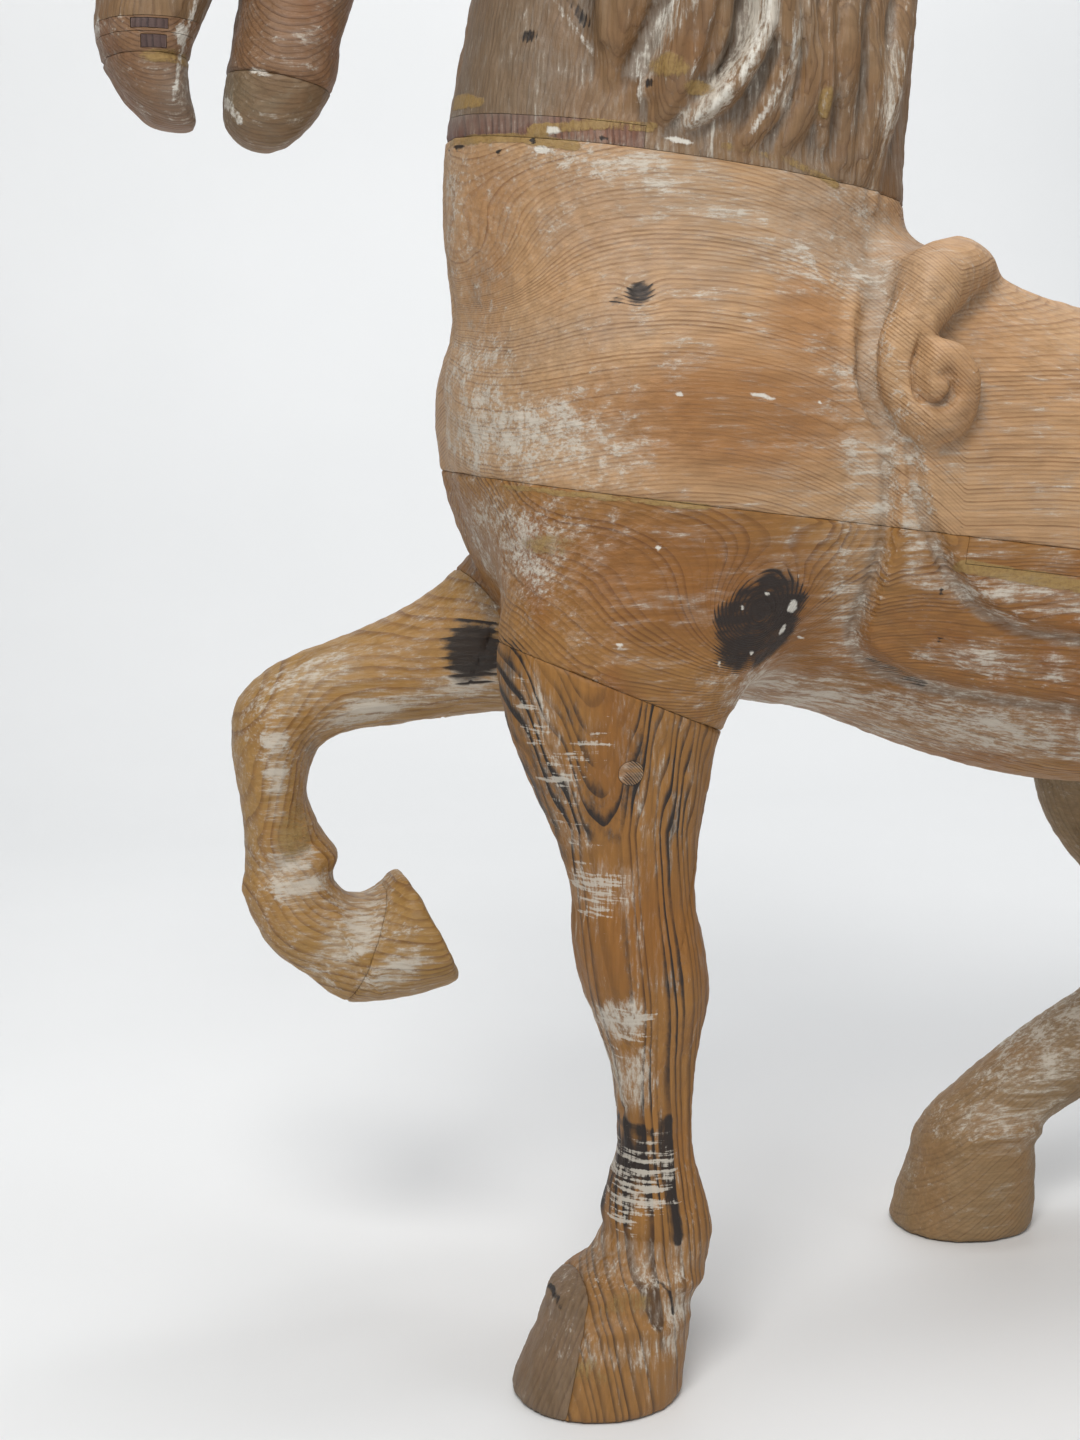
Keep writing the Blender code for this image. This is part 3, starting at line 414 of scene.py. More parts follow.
def lock(relief, rows, hairs=3):
    """A lock of hair: rows of x, z, half width and height. Later locks lie over earlier ones."""
    rows = metres(rows)
    cut, distance, hand, values = trace(rows, 1.3 * rows[:, 2].max())
    u = hand * distance / np.maximum(values[..., 0], 1e-4)
    inside = np.clip(1 - u * u, 0, 1)
    body = values[..., 1] * (inside ** 0.6 - 0.16 * (1 - np.cos(math.tau * hairs * u / 2)) * inside)
    rim = -0.35 * values[..., 1] * np.exp(-(((np.abs(u) - 1.02) / 0.12) ** 2))
    weight = ramp(np.abs(u), 1.0, 0.9)
    here = relief[cut]
    relief[cut] = np.maximum(here * (1 - weight), 0.25 * here * weight) + body * weight + rim


def inside_outline(outline, soften):
    """1 inside a closed outline and 0 outside it, softened across its edge."""
    x = XS[:, None]
    z = ZS[None, :]
    crossings = np.zeros((len(XS), len(ZS)), int)
    points = metres(outline)
    for (ax, az), (bx, bz) in zip(points, np.roll(points, -1, 0)):
        spans = (az > z) != (bz > z)
        at = ax + (z - az) * (bx - ax) / (bz - az if bz != az else 1e-9)
        crossings += spans & (x < at)
    return blur((crossings % 2).astype(float), max(1, round((soften / VOXEL) ** 2)))


def sample(values, points, origin, size):
    """Trilinear values of a grid at points."""
    at = points / size - origin
    at = np.clip(at, 0, np.array(values.shape) - 1.001)
    base = at.astype(int)
    t = at - base
    out = 0
    for corner in range(8):
        bits = np.array((corner & 1, corner >> 1 & 1, corner >> 2 & 1))
        share = np.prod(np.where(bits, t, 1 - t), axis=1)
        index = base + bits
        out = out + share * values[index[:, 0], index[:, 1], index[:, 2]]
    return out


def wobble(points, size, seed, stretch=(1, 1, 1)):
    """A smooth wandering value from -1 to 1; `size` is about the distance between its hills."""
    rng = np.random.default_rng(seed)
    total = 0
    for _ in range(7):
        direction = rng.normal(size=3)
        direction *= rng.uniform(0.5, 1.4) / np.linalg.norm(direction)
        phase = rng.uniform(0, math.tau)
        total = total + np.sin(points @ (direction * math.tau / size / np.array(stretch)) + phase)
    return total / 4.2


# Drawn lines of the relief, in millimetres: x and z, the half width of a lock or the width of a
# stroke, and the height. A negative height is a groove.

HAIR_LOCKS = (
    ((20, 1090, 14, 3), (-20, 1050, 16, 5), (-38, 990, 15, 5), (-34, 935, 10, 4), (-42, 895, 3, 2)),
    ((62, 1070, 14, 3), (20, 1020, 17, 5), (-8, 955, 17, 6), (-14, 890, 13, 5), (-26, 835, 3, 2)),
    (
        (105, 1030, 14, 3), (58, 970, 17, 5), (28, 900, 17, 6), (20, 838, 14, 5), (16, 800, 10, 4),
        (8, 770, 3, 2),
    ),
    ((200, 848, 10, 3), (192, 825, 12, 5), (184, 787, 12, 5), (176, 752, 9, 4), (170, 705, 3, 2)),
    ((204, 870, 9, 3), (180, 838, 11, 5), (165, 810, 10, 5), (164.5, 771, 9, 5), (162, 722, 5, 2)),
    ((200, 890, 9, 3), (168, 852, 11, 5), (147, 812, 9.5, 5), (147, 771, 9, 5), (146, 730, 6, 3)),
    ((196, 905, 6, 3), (155, 862, 6, 5), (131, 816, 5.5, 6), (130, 775, 5.5, 6), (132, 738, 3, 3)),
    (
        (190, 925, 9, 3), (145, 875, 12, 5), (117, 820, 10, 6), (117.5, 782, 11, 7), (114, 755, 11, 6),
        (105, 735, 4, 3),
    ),
    (
        (174, 950, 9, 3), (128, 895, 12, 5), (102, 830, 9, 6), (104, 785, 10, 7), (96, 755, 10, 6),
        (82, 736, 4, 4),
    ),
    (
        (134, 1005, 14, 3), (92, 945, 19, 6), (64, 875, 20, 8), (57, 814, 20, 9), (52, 787, 20, 9),
        (44, 765, 17, 8), (35, 750, 7, 4),
    ),
    (
        (156, 975, 7, 3), (112, 915, 9, 6), (89, 850, 6, 8), (90, 803, 6, 9), (83, 783, 7.5, 10),
        (67, 762, 8.5, 10), (48, 746, 4, 6),
    ),
)
# Muscles of the shoulder and chest, jowl and cheek, lips, flank and haunch, tail hair.
BOTH_SIDES = (
    ((20, 700, 60, 2), (50, 640, 75, 5), (40, 570, 70, 4), (30, 500, 50, 2)),
    (
        (172, 700, 20, -2), (150, 660, 21, -3), (138, 620, 20, -3), (142, 575, 18, -3),
        (146, 520, 14, -3), (146, 470, 12, -3),
    ),
    ((-28, 755, 20, -1), (-36, 722, 20, -4), (-48, 688, 18, -5), (-60, 650, 15, -4), (-64, 620, 12, -1)),
    ((-56, 545, 20, 2), (-30, 515, 24, 3), (0, 480, 28, 3)),
    ((120, 470, 20, -2), (110, 440, 20, -4), (98, 412, 16, -3)),
    ((-60, 955, 26, 6), (-52, 1010, 30, 8)),
    ((-190, 985, 10, 4), (-205, 930, 9, 4), (-226, 880, 8, 3)),
    ((-140, 945, 16, -3), (-175, 890, 14, -4)),
    ((-100, 1040, 10, 4), (-128, 1044, 10, 5), (-152, 1030, 9, 3)),
    ((-204, 840, 2.2, 1.6), (-208, 813.5, 2.6, 2.6), (-219, 782, 2.4, 2.2), (-223.5, 757, 2.2, 1.2)),
    ((-211.5, 812, 3, -2.2), (-217, 788, 3.2, -2.8), (-222.5, 766, 2.6, -1.4)),
    ((560, 640, 60, 4), (590, 560, 70, 6), (570, 470, 60, 4)),
    ((452, 560, 20, -3), (440, 490, 24, -5), (420, 430, 20, -3)),
    ((760, 620, 5, -3), (778, 560, 6, -5), (782, 470, 6, -5), (778, 380, 5, -5), (776, 300, 4, -3)),
    ((735, 600, 5, -3), (753, 540, 6, -5), (757, 460, 6, -5), (757, 370, 5, -5), (765, 280, 4, -2)),
    ((780, 600, 4, -2), (797, 530, 5, -4), (800, 450, 5, -4), (795, 370, 5, -3)),
)
# Edges of the saddle cloth and the flap: a raised cord with a furrow outside it.
CLOTH_EDGE = (
    (166, 640, 2.6, 1), (163, 600, 2.6, 3.2), (162, 563, 2.6, 4.2), (163, 525, 2.6, 4.2),
    (158, 490, 2.6, 4.2), (156, 463, 2.7, 4.2), (162, 453.5, 2.8, 4.2), (190, 440, 2.8, 3.8),
    (220, 432, 2.8, 3.2), (274, 424, 3, 2.8), (360, 417, 3, 2.6), (440, 421, 3, 2.6), (500, 435, 3, 2.6),
    (530, 461, 3, 2.6), (540, 520, 3, 2.6), (542, 600, 3, 2),
)
FLAP_EDGE = (
    (172, 600, 2.8, 1), (171, 577, 2.8, 3.4), (177, 552, 2.8, 4), (185, 530, 3, 4), (201, 503, 3, 4),
    (221, 483, 3, 3.8), (245, 471, 3, 3.6), (275, 466, 3, 3.2), (310, 461, 3, 2.8), (360, 459, 3, 2.6),
    (420, 464, 3, 2.6), (456, 488, 3, 2.6), (476, 530, 3, 2.2), (490, 590, 3, 1.6),
)
UPRIGHT_ABOVE = 455  # the cloth's edge runs upright above this height and along the belly below it
CLOTH_FURROW = tuple(
    (x - 5, z, width, -0.9 * height) if z > UPRIGHT_ABOVE else (x, z - 6, width, -0.9 * height)
    for x, z, width, height in CLOTH_EDGE[2:12]
)
FLAP_FURROW = tuple((x - 4.5, z - 4.5, width, -0.9 * height) for x, z, width, height in FLAP_EDGE[1:12])
# Knees, cannons, coronets and hoof wrinkles.
NEAR_SIDE = (
    ((0, 300, 10, 2), (10, 262, 12, 4), (20, 240, 10, 1)),
    ((46, 290, 8, 1), (48, 255, 9, 3), (46, 230, 8, 1)),
    ((50, 225, 6, -1), (49, 180, 5, -3), (52, 130, 6, -2)),
    ((-30, 70, 5, 2), (10, 83.5, 5.5, 3.4), (45, 83.5, 5.5, 3.4), (72, 78, 5, 2)),
    ((-24, 90, 5, -1), (10, 101, 5, -2), (45, 99, 5, -2)),
    ((580, 66, 5, 2), (620, 79, 5.5, 3.4), (660, 78, 5.5, 3.4), (690, 70, 5, 2)),
    ((-30, 56, 4, 0.6), (0, 62, 4.5, 1.8), (40, 60, 4.5, 1.6), (70, 56, 4, 0.6)),
    ((-6, 120, 4, -0.8), (6, 112, 4.5, -2.4), (30, 107, 4.5, -2.4), (52, 110, 4, -1)),
    ((34, 92, 2.2, -1), (42, 82, 2.4, -2.6), (45, 70, 2.2, -1)),
    ((26, 94, 2, -0.8), (33, 84, 2.2, -2), (36, 74, 2, -0.8)),
    ((640, 240, 8, -1), (650, 200, 6, -3), (655, 150, 6, -2)),
)
FAR_SIDE = (
    ((-155, 425, 12, 2), (-168, 395, 14, 4), (-165, 360, 10, 1)),
    ((-136, 292, 4, 1), (-118, 262, 4, 3), (-104, 238, 4, 3), (-98, 222, 4, 2)),
    ((-149, 300, 5, -1), (-128, 268, 5, -2), (-114, 236, 5, -2)),
    ((-128, 405, 10, -1), (-140, 380, 9, -4), (-142, 350, 8, -3), (-150, 325, 7, -1)),
    ((-178, 380, 6, 1), (-172, 350, 6, 4), (-168, 320, 6, 2)),
    ((-172, 300, 6, -1), (-158, 306, 6, -3), (-140, 318, 6, -2)),
    ((300, 70, 5, 2), (330, 85, 5.5, 3.4), (365, 85, 5.5, 3.4), (390, 72, 5, 2)),
    ((500, 230, 7, -1), (455, 180, 6, -3), (420, 148, 6, -2)),
)
# The turns of the scroll, its lip and the valley in front of it.
SCROLL_GROOVES = (
    (
        (172, 636, 2.2, -2), (166.5, 620, 2.4, -6), (166, 604.5, 2.5, -8), (169.5, 596, 2.5, -8),
        (177.5, 593.5, 2.5, -8), (184.5, 598, 2.4, -8), (186.2, 605.5, 2.3, -7), (182, 611.5, 2.2, -5),
        (176.5, 611, 2, -3),
    ),
    ((190, 660, 2.2, -1), (172, 644, 2.2, -2), (162, 628, 2.2, -2), (160, 612, 2.2, -1)),
    ((156, 655, 3, -1), (144, 630, 3, -3), (143, 602, 3, -3.4), (152, 582, 3, -2.4)),
    ((148, 662, 3, 1.6), (136.5, 630, 3.2, 3), (136.5, 598, 3.2, 2.6), (148, 574, 3, 1)),
)


HAIR_RELIEF = 1.45
PROUD = 0.005  # how far the cloth stands over the barrel, and the flap over the cloth


def relief_maps():
    """Heights of the relief over the near and the far side."""
    near = np.zeros((len(XS), len(ZS)))
    far = np.zeros_like(near)
    hair = np.zeros_like(near)
    for rows in HAIR_LOCKS:
        lock(hair, rows)
    hair *= HAIR_RELIEF
    for relief in (near, far):
        relief += hair
        for outline in (CLOTH_OUTLINE, FLAP_OUTLINE):
            relief += PROUD * inside_outline(outline, 0.003) * ramp(ZS, 0.700, 0.670)
    for rows in (*BOTH_SIDES, CLOTH_EDGE, FLAP_EDGE, CLOTH_FURROW, FLAP_FURROW, *SCROLL_GROOVES):
        stroke((near, far), rows)
    for rows in NEAR_SIDE:
        stroke((near,), rows)
    for rows in FAR_SIDE:
        stroke((far,), rows)
    return near, far


def carved_field():
    """Distances from the carved surface: forms joined with fillets, then relief, then holes."""
    field = np.full(SHAPE, DEEP, np.float32)
    add_skin(field, 0.010, TRUNK, square=2.15)
    add_skin(field, 0.018, NECK, square=2.1)
    add_skin(field, 0.040, NEAR_FORELEG, centre=NEAR_Y, sides=48, square=2.1)
    add_skin(field, 0.020, FAR_FORELEG, centre=FAR_Y, sides=48, square=2.1)
    add_skin(field, 0.030, NEAR_HIND_LEG, centre=NEAR_HIND_Y, sides=48, square=2.1)
    add_skin(field, 0.030, FAR_HIND_LEG, centre=FAR_HIND_Y, sides=48, square=2.1)
    add_skin(field, 0.008, TAIL, sides=48)
    add_skin(field, 0.010, CANTLE, square=2.3)
    add_skin(field, 0.016, HEAD, square=2.15)
    add_bar(field, 0.012, CREST_ROLL)
    for points in MANE_LOCKS:
        for side in (1, -1):
            add_bar(field, 0.014, points, side=side)
    blur(field, 3 if VOXEL < 0.003 else 1)
    add_skin(field, 0.004, UPPER_JAW, sides=48, square=2.3)
    add_skin(field, 0.004, LOWER_JAW, sides=48, square=2.2)
    add_bar(field, 0.006, POMMEL_ROLL, mirrored=True)
    for side in (-1, 1):
        add_skin(field, 0.005, EAR, sides=40, side=side)
        add_ball(field, 0.003, (EYE[0], side * EYE[1], EYE[2]), EYE_RADII)
        add_ball(field, 0.003, (NOSTRIL[0], side * NOSTRIL[1], NOSTRIL[2]), NOSTRIL_RADII, cut_out=True)
    near, far = relief_maps()
    y = (ORIGIN[1] + np.arange(SHAPE[1])) * VOXEL
    for relief, share in ((near, ramp(y, -0.006, -0.030)), (far, ramp(y, 0.006, 0.030))):
        for j in np.flatnonzero(share > 0):
            field[:, j, :] -= (relief * share[j]).astype(np.float32)
    blur(field, 1)
    field[:, :, ZS < SOLE_Z] = np.maximum(field[:, :, ZS < SOLE_Z], 0.5 * VOXEL)
    return field


# Blocks: sawn out of the carved surface on the glue lines, as the part is.


def place(name, mesh):
    obj = bpy.data.objects.new(name, mesh)
    bpy.context.scene.collection.objects.link(obj)
    return obj


def boolean(obj, operation, other):
    modifier = obj.modifiers.new(operation.lower(), "BOOLEAN")
    modifier.operation = operation
    modifier.object = other
    modifier.solver = "MANIFOLD"


def applied(obj):
    """The object's mesh with its modifiers applied; the object is then removed."""
    mesh = bpy.data.meshes.new_from_object(obj.evaluated_get(bpy.context.evaluated_depsgraph_get()))
    bpy.data.objects.remove(obj)
    return mesh


def slab(seam, along, across, y):
    """A box on a glue line: `along` it, `across` it (positive above) and between two y."""
    x, z, angle = seam
    bm = bmesh.new()
    bmesh.ops.create_cube(bm, size=1)
    size = Vector((along[1] - along[0], y[1] - y[0], across[1] - across[0]))
    middle = Vector((sum(along) / 2, sum(y) / 2, sum(across) / 2))
    turn = Matrix.Translation((x, 0, z)) @ Matrix.Rotation(-math.radians(angle), 4, "Y")
    matrix = turn @ Matrix.Translation(middle) @ Matrix.Diagonal((*size, 1))
    bmesh.ops.transform(bm, matrix=matrix, verts=bm.verts)
    return finish_mesh(bm, "slab")


def rod(middle, direction, radius, length):
    bm = bmesh.new()
    bmesh.ops.create_cone(bm, cap_ends=True, segments=32, radius1=radius, radius2=radius, depth=length)
    turn = Vector(direction).to_track_quat("Z", "Y").to_matrix().to_4x4()
    bmesh.ops.transform(bm, matrix=Matrix.Translation(middle) @ turn, verts=bm.verts)
    return finish_mesh(bm, "rod")


def finish_mesh(bm, name):
    bmesh.ops.recalc_face_normals(bm, faces=bm.faces)
    mesh = bpy.data.meshes.new(name)
    bm.to_mesh(mesh)
    bm.free()
    return mesh


def points_of(mesh):
    out = np.empty(len(mesh.vertices) * 3, np.float32)
    mesh.vertices.foreach_get("co", out)
    return out.reshape(-1, 3).astype(float)


def set_points(mesh, points):
    mesh.vertices.foreach_set("co", points.astype(np.float32).ravel())
    mesh.update()


def surface(field, low, high):
    """The carved surface inside a box, closed off a little outside it."""
    cut, *_ = window_of(np.array(low) - 4 * VOXEL, np.array(high) + 4 * VOXEL)
    part = field[cut].copy()
    for axis in range(3):
        for end in (0, -1):
            index = [slice(None)] * 3
            index[axis] = end
            part[tuple(index)] = DEEP
    grid = openvdb.FloatGrid(DEEP)
    grid.transform = GRID_TRANSFORM
    corner = ORIGIN + np.array([c.start for c in cut])
    grid.copyFromArray(np.clip(part, -DEEP, DEEP), ijk=tuple(int(v) for v in corner))
    points, quads = grid.convertToQuads(0.0)
    mesh = bpy.data.meshes.new("surface")
    mesh.from_pydata(points, [], quads)
    return mesh


def chisel(points, field):
    """Moves the skin along its slope by the small flats that the gouge left."""
    slope = gradient(points, field)
    facet = 0.0005 * wobble(points, 0.018, 3, (1, 1, 0.6)) + 0.0003 * wobble(points, 0.007, 4)
    return points + slope * facet[:, None]


def gradient(points, field):
    step = 1.5 * VOXEL
    ahead, behind = (
        np.stack([sample(field, points + way * step * axis, ORIGIN, VOXEL) for axis in np.eye(3)], 1)
        for way in (1, -1)
    )
    slope = ahead - behind
    return slope / np.maximum(np.linalg.norm(slope, axis=1, keepdims=True), 1e-9)


def saw(name, field, keep, takes=()):
    """A closed block: the carved surface inside `keep` and outside every piece of `takes`."""
    cutter = place(name + "_cutter", keep)
    rooms = [place(name + "_room", room) for room in takes]
    for room in rooms:
        boolean(cutter, "DIFFERENCE", room)
    box = points_of(keep)
    skin_mesh = surface(field, box.min(0), box.max(0))
    set_points(skin_mesh, chisel(points_of(skin_mesh), field))
    block = place(name, skin_mesh)
    boolean(block, "INTERSECT", cutter)
    mesh = applied(block)
    for obj in (cutter, *rooms):
        bpy.data.objects.remove(obj)
    return mesh


# Wood: each block has its own run of growth rings, colours and old paint.


class Graph:
    """A short way to write one material's nodes."""

    def __init__(self, name):
        self.material = bpy.data.materials.new(name)
        self.material.use_nodes = True
        self.tree = self.material.node_tree
        self.shader = self.tree.nodes["Principled BSDF"]

    def node(self, kind, **settings):
        made = self.tree.nodes.new(kind)
        for key, value in settings.items():
            setattr(made, key, value)
        return made

    def feed(self, socket, value):
        if isinstance(value, bpy.types.NodeSocket):
            self.tree.links.new(value, socket)
        else:
            socket.default_value = value

    def math(self, operation, a, b=0.0, c=0.0, clamp=False):
        made = self.node("ShaderNodeMath", operation=operation, use_clamp=clamp)
        for socket, value in zip(made.inputs, (a, b, c)):
            self.feed(socket, value)
        return made.outputs[0]

    def blend(self, *terms):
        """The sum of value times weight; a third number in a term is taken from its value first."""
        total = 0.0
        for value, weight, *middle in terms:
            if middle:
                value = self.math("SUBTRACT", value, middle[0])
            total = self.math("MULTIPLY_ADD", value, weight, total)
        return total

    def ease(self, value, start, end):
        """0 at start, 1 at end, eased."""
        made = self.node("ShaderNodeMapRange", interpolation_type="SMOOTHSTEP")
        self.feed(made.inputs["Value"], value)
        made.inputs["From Min"].default_value = start
        made.inputs["From Max"].default_value = end
        return made.outputs[0]

    def noise(self, vector, scale, detail=2.0, rough=0.5, twist=0.0):
        made = self.node("ShaderNodeTexNoise")
        self.feed(made.inputs["Vector"], vector)
        made.inputs["Scale"].default_value = scale
        made.inputs["Detail"].default_value = detail
        made.inputs["Roughness"].default_value = rough
        made.inputs["Distortion"].default_value = twist
        return made.outputs["Fac"]

    def stretched(self, along, across):
        """The place in the wood, scaled by `along` along the grain and by `across` over it."""
        made = self.node("ShaderNodeMapping", vector_type="POINT")
        self.feed(made.inputs["Vector"], self.place)
        made.inputs["Scale"].default_value = [along if axis == self.grain else across for axis in range(3)]
        return made.outputs[0]

    def value(self, name):
        return self.node("ShaderNodeAttribute", attribute_name=name).outputs["Fac"]

    def mix(self, share, a, b, blend="MIX"):
        made = self.node("ShaderNodeMix", data_type="RGBA", blend_type=blend)
        self.feed(made.inputs["Factor"], share)
        for socket, value in ((made.inputs[6], a), (made.inputs[7], b)):
            self.feed(socket, (*value, 1.0) if isinstance(value, tuple) else value)
        return made.outputs[2]


SIDEWAYS, UPRIGHT = 0, 2  # the axis that the grain runs along
LIME = (0.60, 0.55, 0.47)
CHALK = (0.70, 0.67, 0.60)
OCHRE = (0.33, 0.215, 0.075)
OCHRE_DARK = (0.24, 0.145, 0.05)
CHAR = (0.016, 0.012, 0.011)
# the dark brown of the dirt and of the painted shade in the hollows
DIRT_AND_SHADE = (0.060, 0.038, 0.024)


def wood(name, early, late, grain=SIDEWAYS, contrast=0.5, grey=(0.25, 0.205, 0.165), greyed=0.3,
         limed=0.0, warm=(0.30, 0.125, 0.032), warmed=0.25, grime_and_shade=0.72):
    """Pine with growth rings, weathered grey in places, with dirt and painted shade darkening its hollows
    and lime left in them.

    The numbers in a blend are the weights of its terms: they say how ragged each edge is."""
    g = Graph(name)
    g.grain = grain
    g.place = g.node("ShaderNodeTexCoord").outputs["Object"]
    fibre = g.noise(g.stretched(14, 420), 1.0, 3.0, 0.6)
    streak = g.noise(g.stretched(11, 170), 1.0, 4.0, 0.65)
    cross = g.noise(g.stretched(330, 34), 1.0, 3.0, 0.6)
    scratch = g.noise(g.stretched(60, 520), 1.0, 4.0, 0.7)
    cloud = g.noise(g.place, 9.0, 4.0, 0.6, 0.6)
    patch = g.noise(g.place, 30.0, 6.0, 0.7, 0.5)
    speck = g.noise(g.place, 460.0, 3.0, 0.7)
    cavity, tone = g.value("cavity"), g.value("tone")
    # rings
    ring = g.value("ring")
    shade = g.node("ShaderNodeTexWhiteNoise", noise_dimensions="1D")
    g.feed(shade.inputs["W"], g.math("FLOOR", ring))
    part = g.math("FRACT", ring)
    rise = g.ease(part, 0.40, 0.88)
    band = g.math("MULTIPLY", rise, g.ease(part, 1.0, 0.94))
    band = g.math("MULTIPLY", band, g.math("MULTIPLY_ADD", shade.outputs["Value"], 0.75, 0.25))
    dark = g.math("MULTIPLY", band, g.math("MULTIPLY_ADD", patch, 1.2, contrast - 0.6), clamp=True)
    colour = g.mix(dark, early, late)
    # broad colour changes
    redder, greyer = g.math("MAXIMUM", tone, 0.0), g.math("MINIMUM", tone, 0.0)
    warm_share = g.blend((g.ease(cloud, 0.42, 0.66), warmed), (redder, 0.9), (patch, 0.5, 0.5))
    in_early = g.math("MULTIPLY_ADD", dark, -0.5, 0.9)
    colour = g.mix(g.math("MULTIPLY", warm_share, in_early, clamp=True), colour, warm)
    aged = g.blend((g.ease(patch, 0.42, 0.66), greyed), (greyer, -0.9), (streak, 0.5, 0.5))
    colour = g.mix(g.math("MINIMUM", g.math("MAXIMUM", aged, 0.0), 0.85), colour, grey)
    light = g.node("ShaderNodeCombineColor")
    for socket in light.inputs[:3]:
        g.feed(socket, g.blend((fibre, 0.65), (streak, 0.45), (cloud, 0.35), (1.0, 0.27)))
    colour = g.mix(1.0, colour, light.outputs[0], "MULTIPLY")
    # dirt and painted shade in the deep places, lime beside it and along the pores
    # the hollows darken by their cavity value: partly real dirt, partly painted shade where shade falls into
    # them
    dirt_and_shade = g.ease(g.blend((cavity, 1.0), (streak, 1.4, 0.5), (patch, 1.0, 0.5)), 0.16, 1.0)
    colour = g.mix(g.math("MULTIPLY", dirt_and_shade, grime_and_shade), colour, DIRT_AND_SHADE)
    left = g.value("lime")
    veil = g.blend((left, 0.40), (cavity, 0.10), (streak, 0.6, 0.5), (scratch, 0.7, 0.5), (patch, 0.5, 0.5),
                   (1.0, limed - 0.03))
    veil = g.math("MINIMUM", g.math("MAXIMUM", veil, 0.0), 0.55)
    colour = g.mix(veil, colour, LIME)
    lime = g.blend((left, 0.60), (patch, 1.3, 0.5), (streak, 1.2, 0.5), (scratch, 1.3, 0.5),
                   (speck, 0.4, 0.5), (1.0, limed))
    lime_share = g.math("MULTIPLY", g.ease(lime, 0.24, 0.66), 0.80)
    colour = g.mix(lime_share, colour, LIME)
    # filler, scorches, tool marks and paint
    ochre = g.ease(g.blend((g.value("ochre"), 1.0), (patch, 0.9, 0.5), (scratch, 0.5, 0.5)), 0.42, 0.60)
    filler = g.mix(g.ease(speck, 0.35, 0.75), OCHRE, OCHRE_DARK)
    colour = g.mix(g.math("MULTIPLY", ochre, 0.88), colour, filler)
    scorch = g.value("black")
    in_rings = g.math("MULTIPLY", band, g.ease(scorch, 0.05, 0.35))
    black = g.blend((scorch, 1.0), (streak, 1.1, 0.5), (patch, 1.0, 0.5), (in_rings, 0.55))
    black = g.ease(black, 0.34, 0.86)
    colour = g.mix(g.math("MULTIPLY", black, 0.96), colour, CHAR)
    hatch = g.ease(g.blend((g.value("hatch"), 1.0), (cross, 2.4, 0.5), (scratch, 1.0, 0.5)), 0.62, 0.85)
    colour = g.mix(g.math("MULTIPLY", hatch, 0.75), colour, LIME)
    chalk = g.blend((g.value("chalk"), 1.0), (streak, 0.9, 0.5), (scratch, 0.8, 0.5), (speck, 0.5, 0.5))
    chalk = g.ease(chalk, 0.38, 0.78)
    colour = g.mix(g.math("MULTIPLY", chalk, 0.88), colour, CHALK)
    g.feed(g.shader.inputs["Base Color"], colour)
    g.feed(g.shader.inputs["Roughness"], g.blend((lime_share, 0.18), (fibre, 0.16), (1.0, 0.46)))
    bump = g.node("ShaderNodeBump")
    bump.inputs["Strength"].default_value = 0.7
    bump.inputs["Distance"].default_value = 0.0014
    height = g.blend((band, 0.30), (fibre, 0.40), (lime_share, 0.22), (speck, 0.25), (streak, 0.45),
                     (ochre, 0.4), (black, -0.4), (scratch, 0.2))
    g.feed(bump.inputs["Height"], height)
    g.feed(g.shader.inputs["Normal"], bump.outputs[0])
    g.shader.inputs["Specular IOR Level"].default_value = 0.35
    return g.material


# Places over the side view: x, z and a width, or a radius, in metres.


def spot(p, x, z, wide, tall, angle=0.0, side=-1):
    """1 in the middle of an ellipse on one side of the horse, falling to 0 at its edge."""
    c, s = math.cos(math.radians(angle)), math.sin(math.radians(angle))
    u = ((p[:, 0] - x) * c + (p[:, 2] - z) * s) / wide
    v = (-(p[:, 0] - x) * s + (p[:, 2] - z) * c) / tall
    return ramp(np.hypot(u, v), 1.25, 0.35) * (p[:, 1] * side > 0)


def away_from(p, points):
    """How far each point is from a drawn line."""
    best = np.full(len(p), FAR_AWAY)
    for a, b in zip(points, points[1:]):
        step = b - a
        t = np.clip(((p[:, 0] - a[0]) * step[0] + (p[:, 2] - a[1]) * step[1]) / (step @ step), 0, 1)
        best = np.minimum(best, np.hypot(p[:, 0] - a[0] - t * step[0], p[:, 2] - a[1] - t * step[1]))
    return best


def line(p, points, width):
    """1 along a drawn line on the near side, falling to 0 at `width` from it."""
    return ramp(away_from(p, points), width, width * 0.3) * (p[:, 1] < 0)


def above(p, seam):
    """Height over a glue line, square to it."""
    x, z, angle = seam
    lean = math.radians(angle)
    return -(p[:, 0] - x) * math.sin(lean) + (p[:, 2] - z) * math.cos(lean)


def knot(p, x, z, radius, height):
    """How far the rings swell round a knot on the near side."""
    away = np.hypot(p[:, 0] - x, p[:, 2] - z)
    return height * np.exp(-((away / radius) ** 2)) * (p[:, 1] < 0)


# Growth rings: the ring number at each point of a block.


def upper_rings(p):
    x, y, z = p.T
    arch = np.minimum(((x - 0.045) / 0.095) ** 2, 2.4 + 0.15 * np.abs(x - 0.045) / 0.095)
    height = z + 0.028 * arch + 0.30 * np.abs(y) + 0.003 * wobble(p, 0.22, 11)
    height = height + knot(p, -0.066, 0.672, 0.034, 0.050) + knot(p, 0.017, 0.654, 0.010, 0.006)
    height = height + 0.0006 * wobble(p, 0.045, 12, (2, 1, 1))
    return height / 0.0023


def lower_rings(p):
    x, y, z = p.T
    round_knot = np.hypot(x - 0.086, 1.25 * (z - 0.476))
    height = 0.80 * z + 0.60 * np.abs(y) + 0.55 * ramp(round_knot, 0.16, 0.0) * (0.10 - round_knot)
    height = height + 0.016 * wobble(p, 0.11, 21, (1.2, 1, 1)) + 0.0012 * wobble(p, 0.045, 22)
    height = height + knot(p, 0.086, 0.476, 0.030, 0.030)
    return height / 0.0031


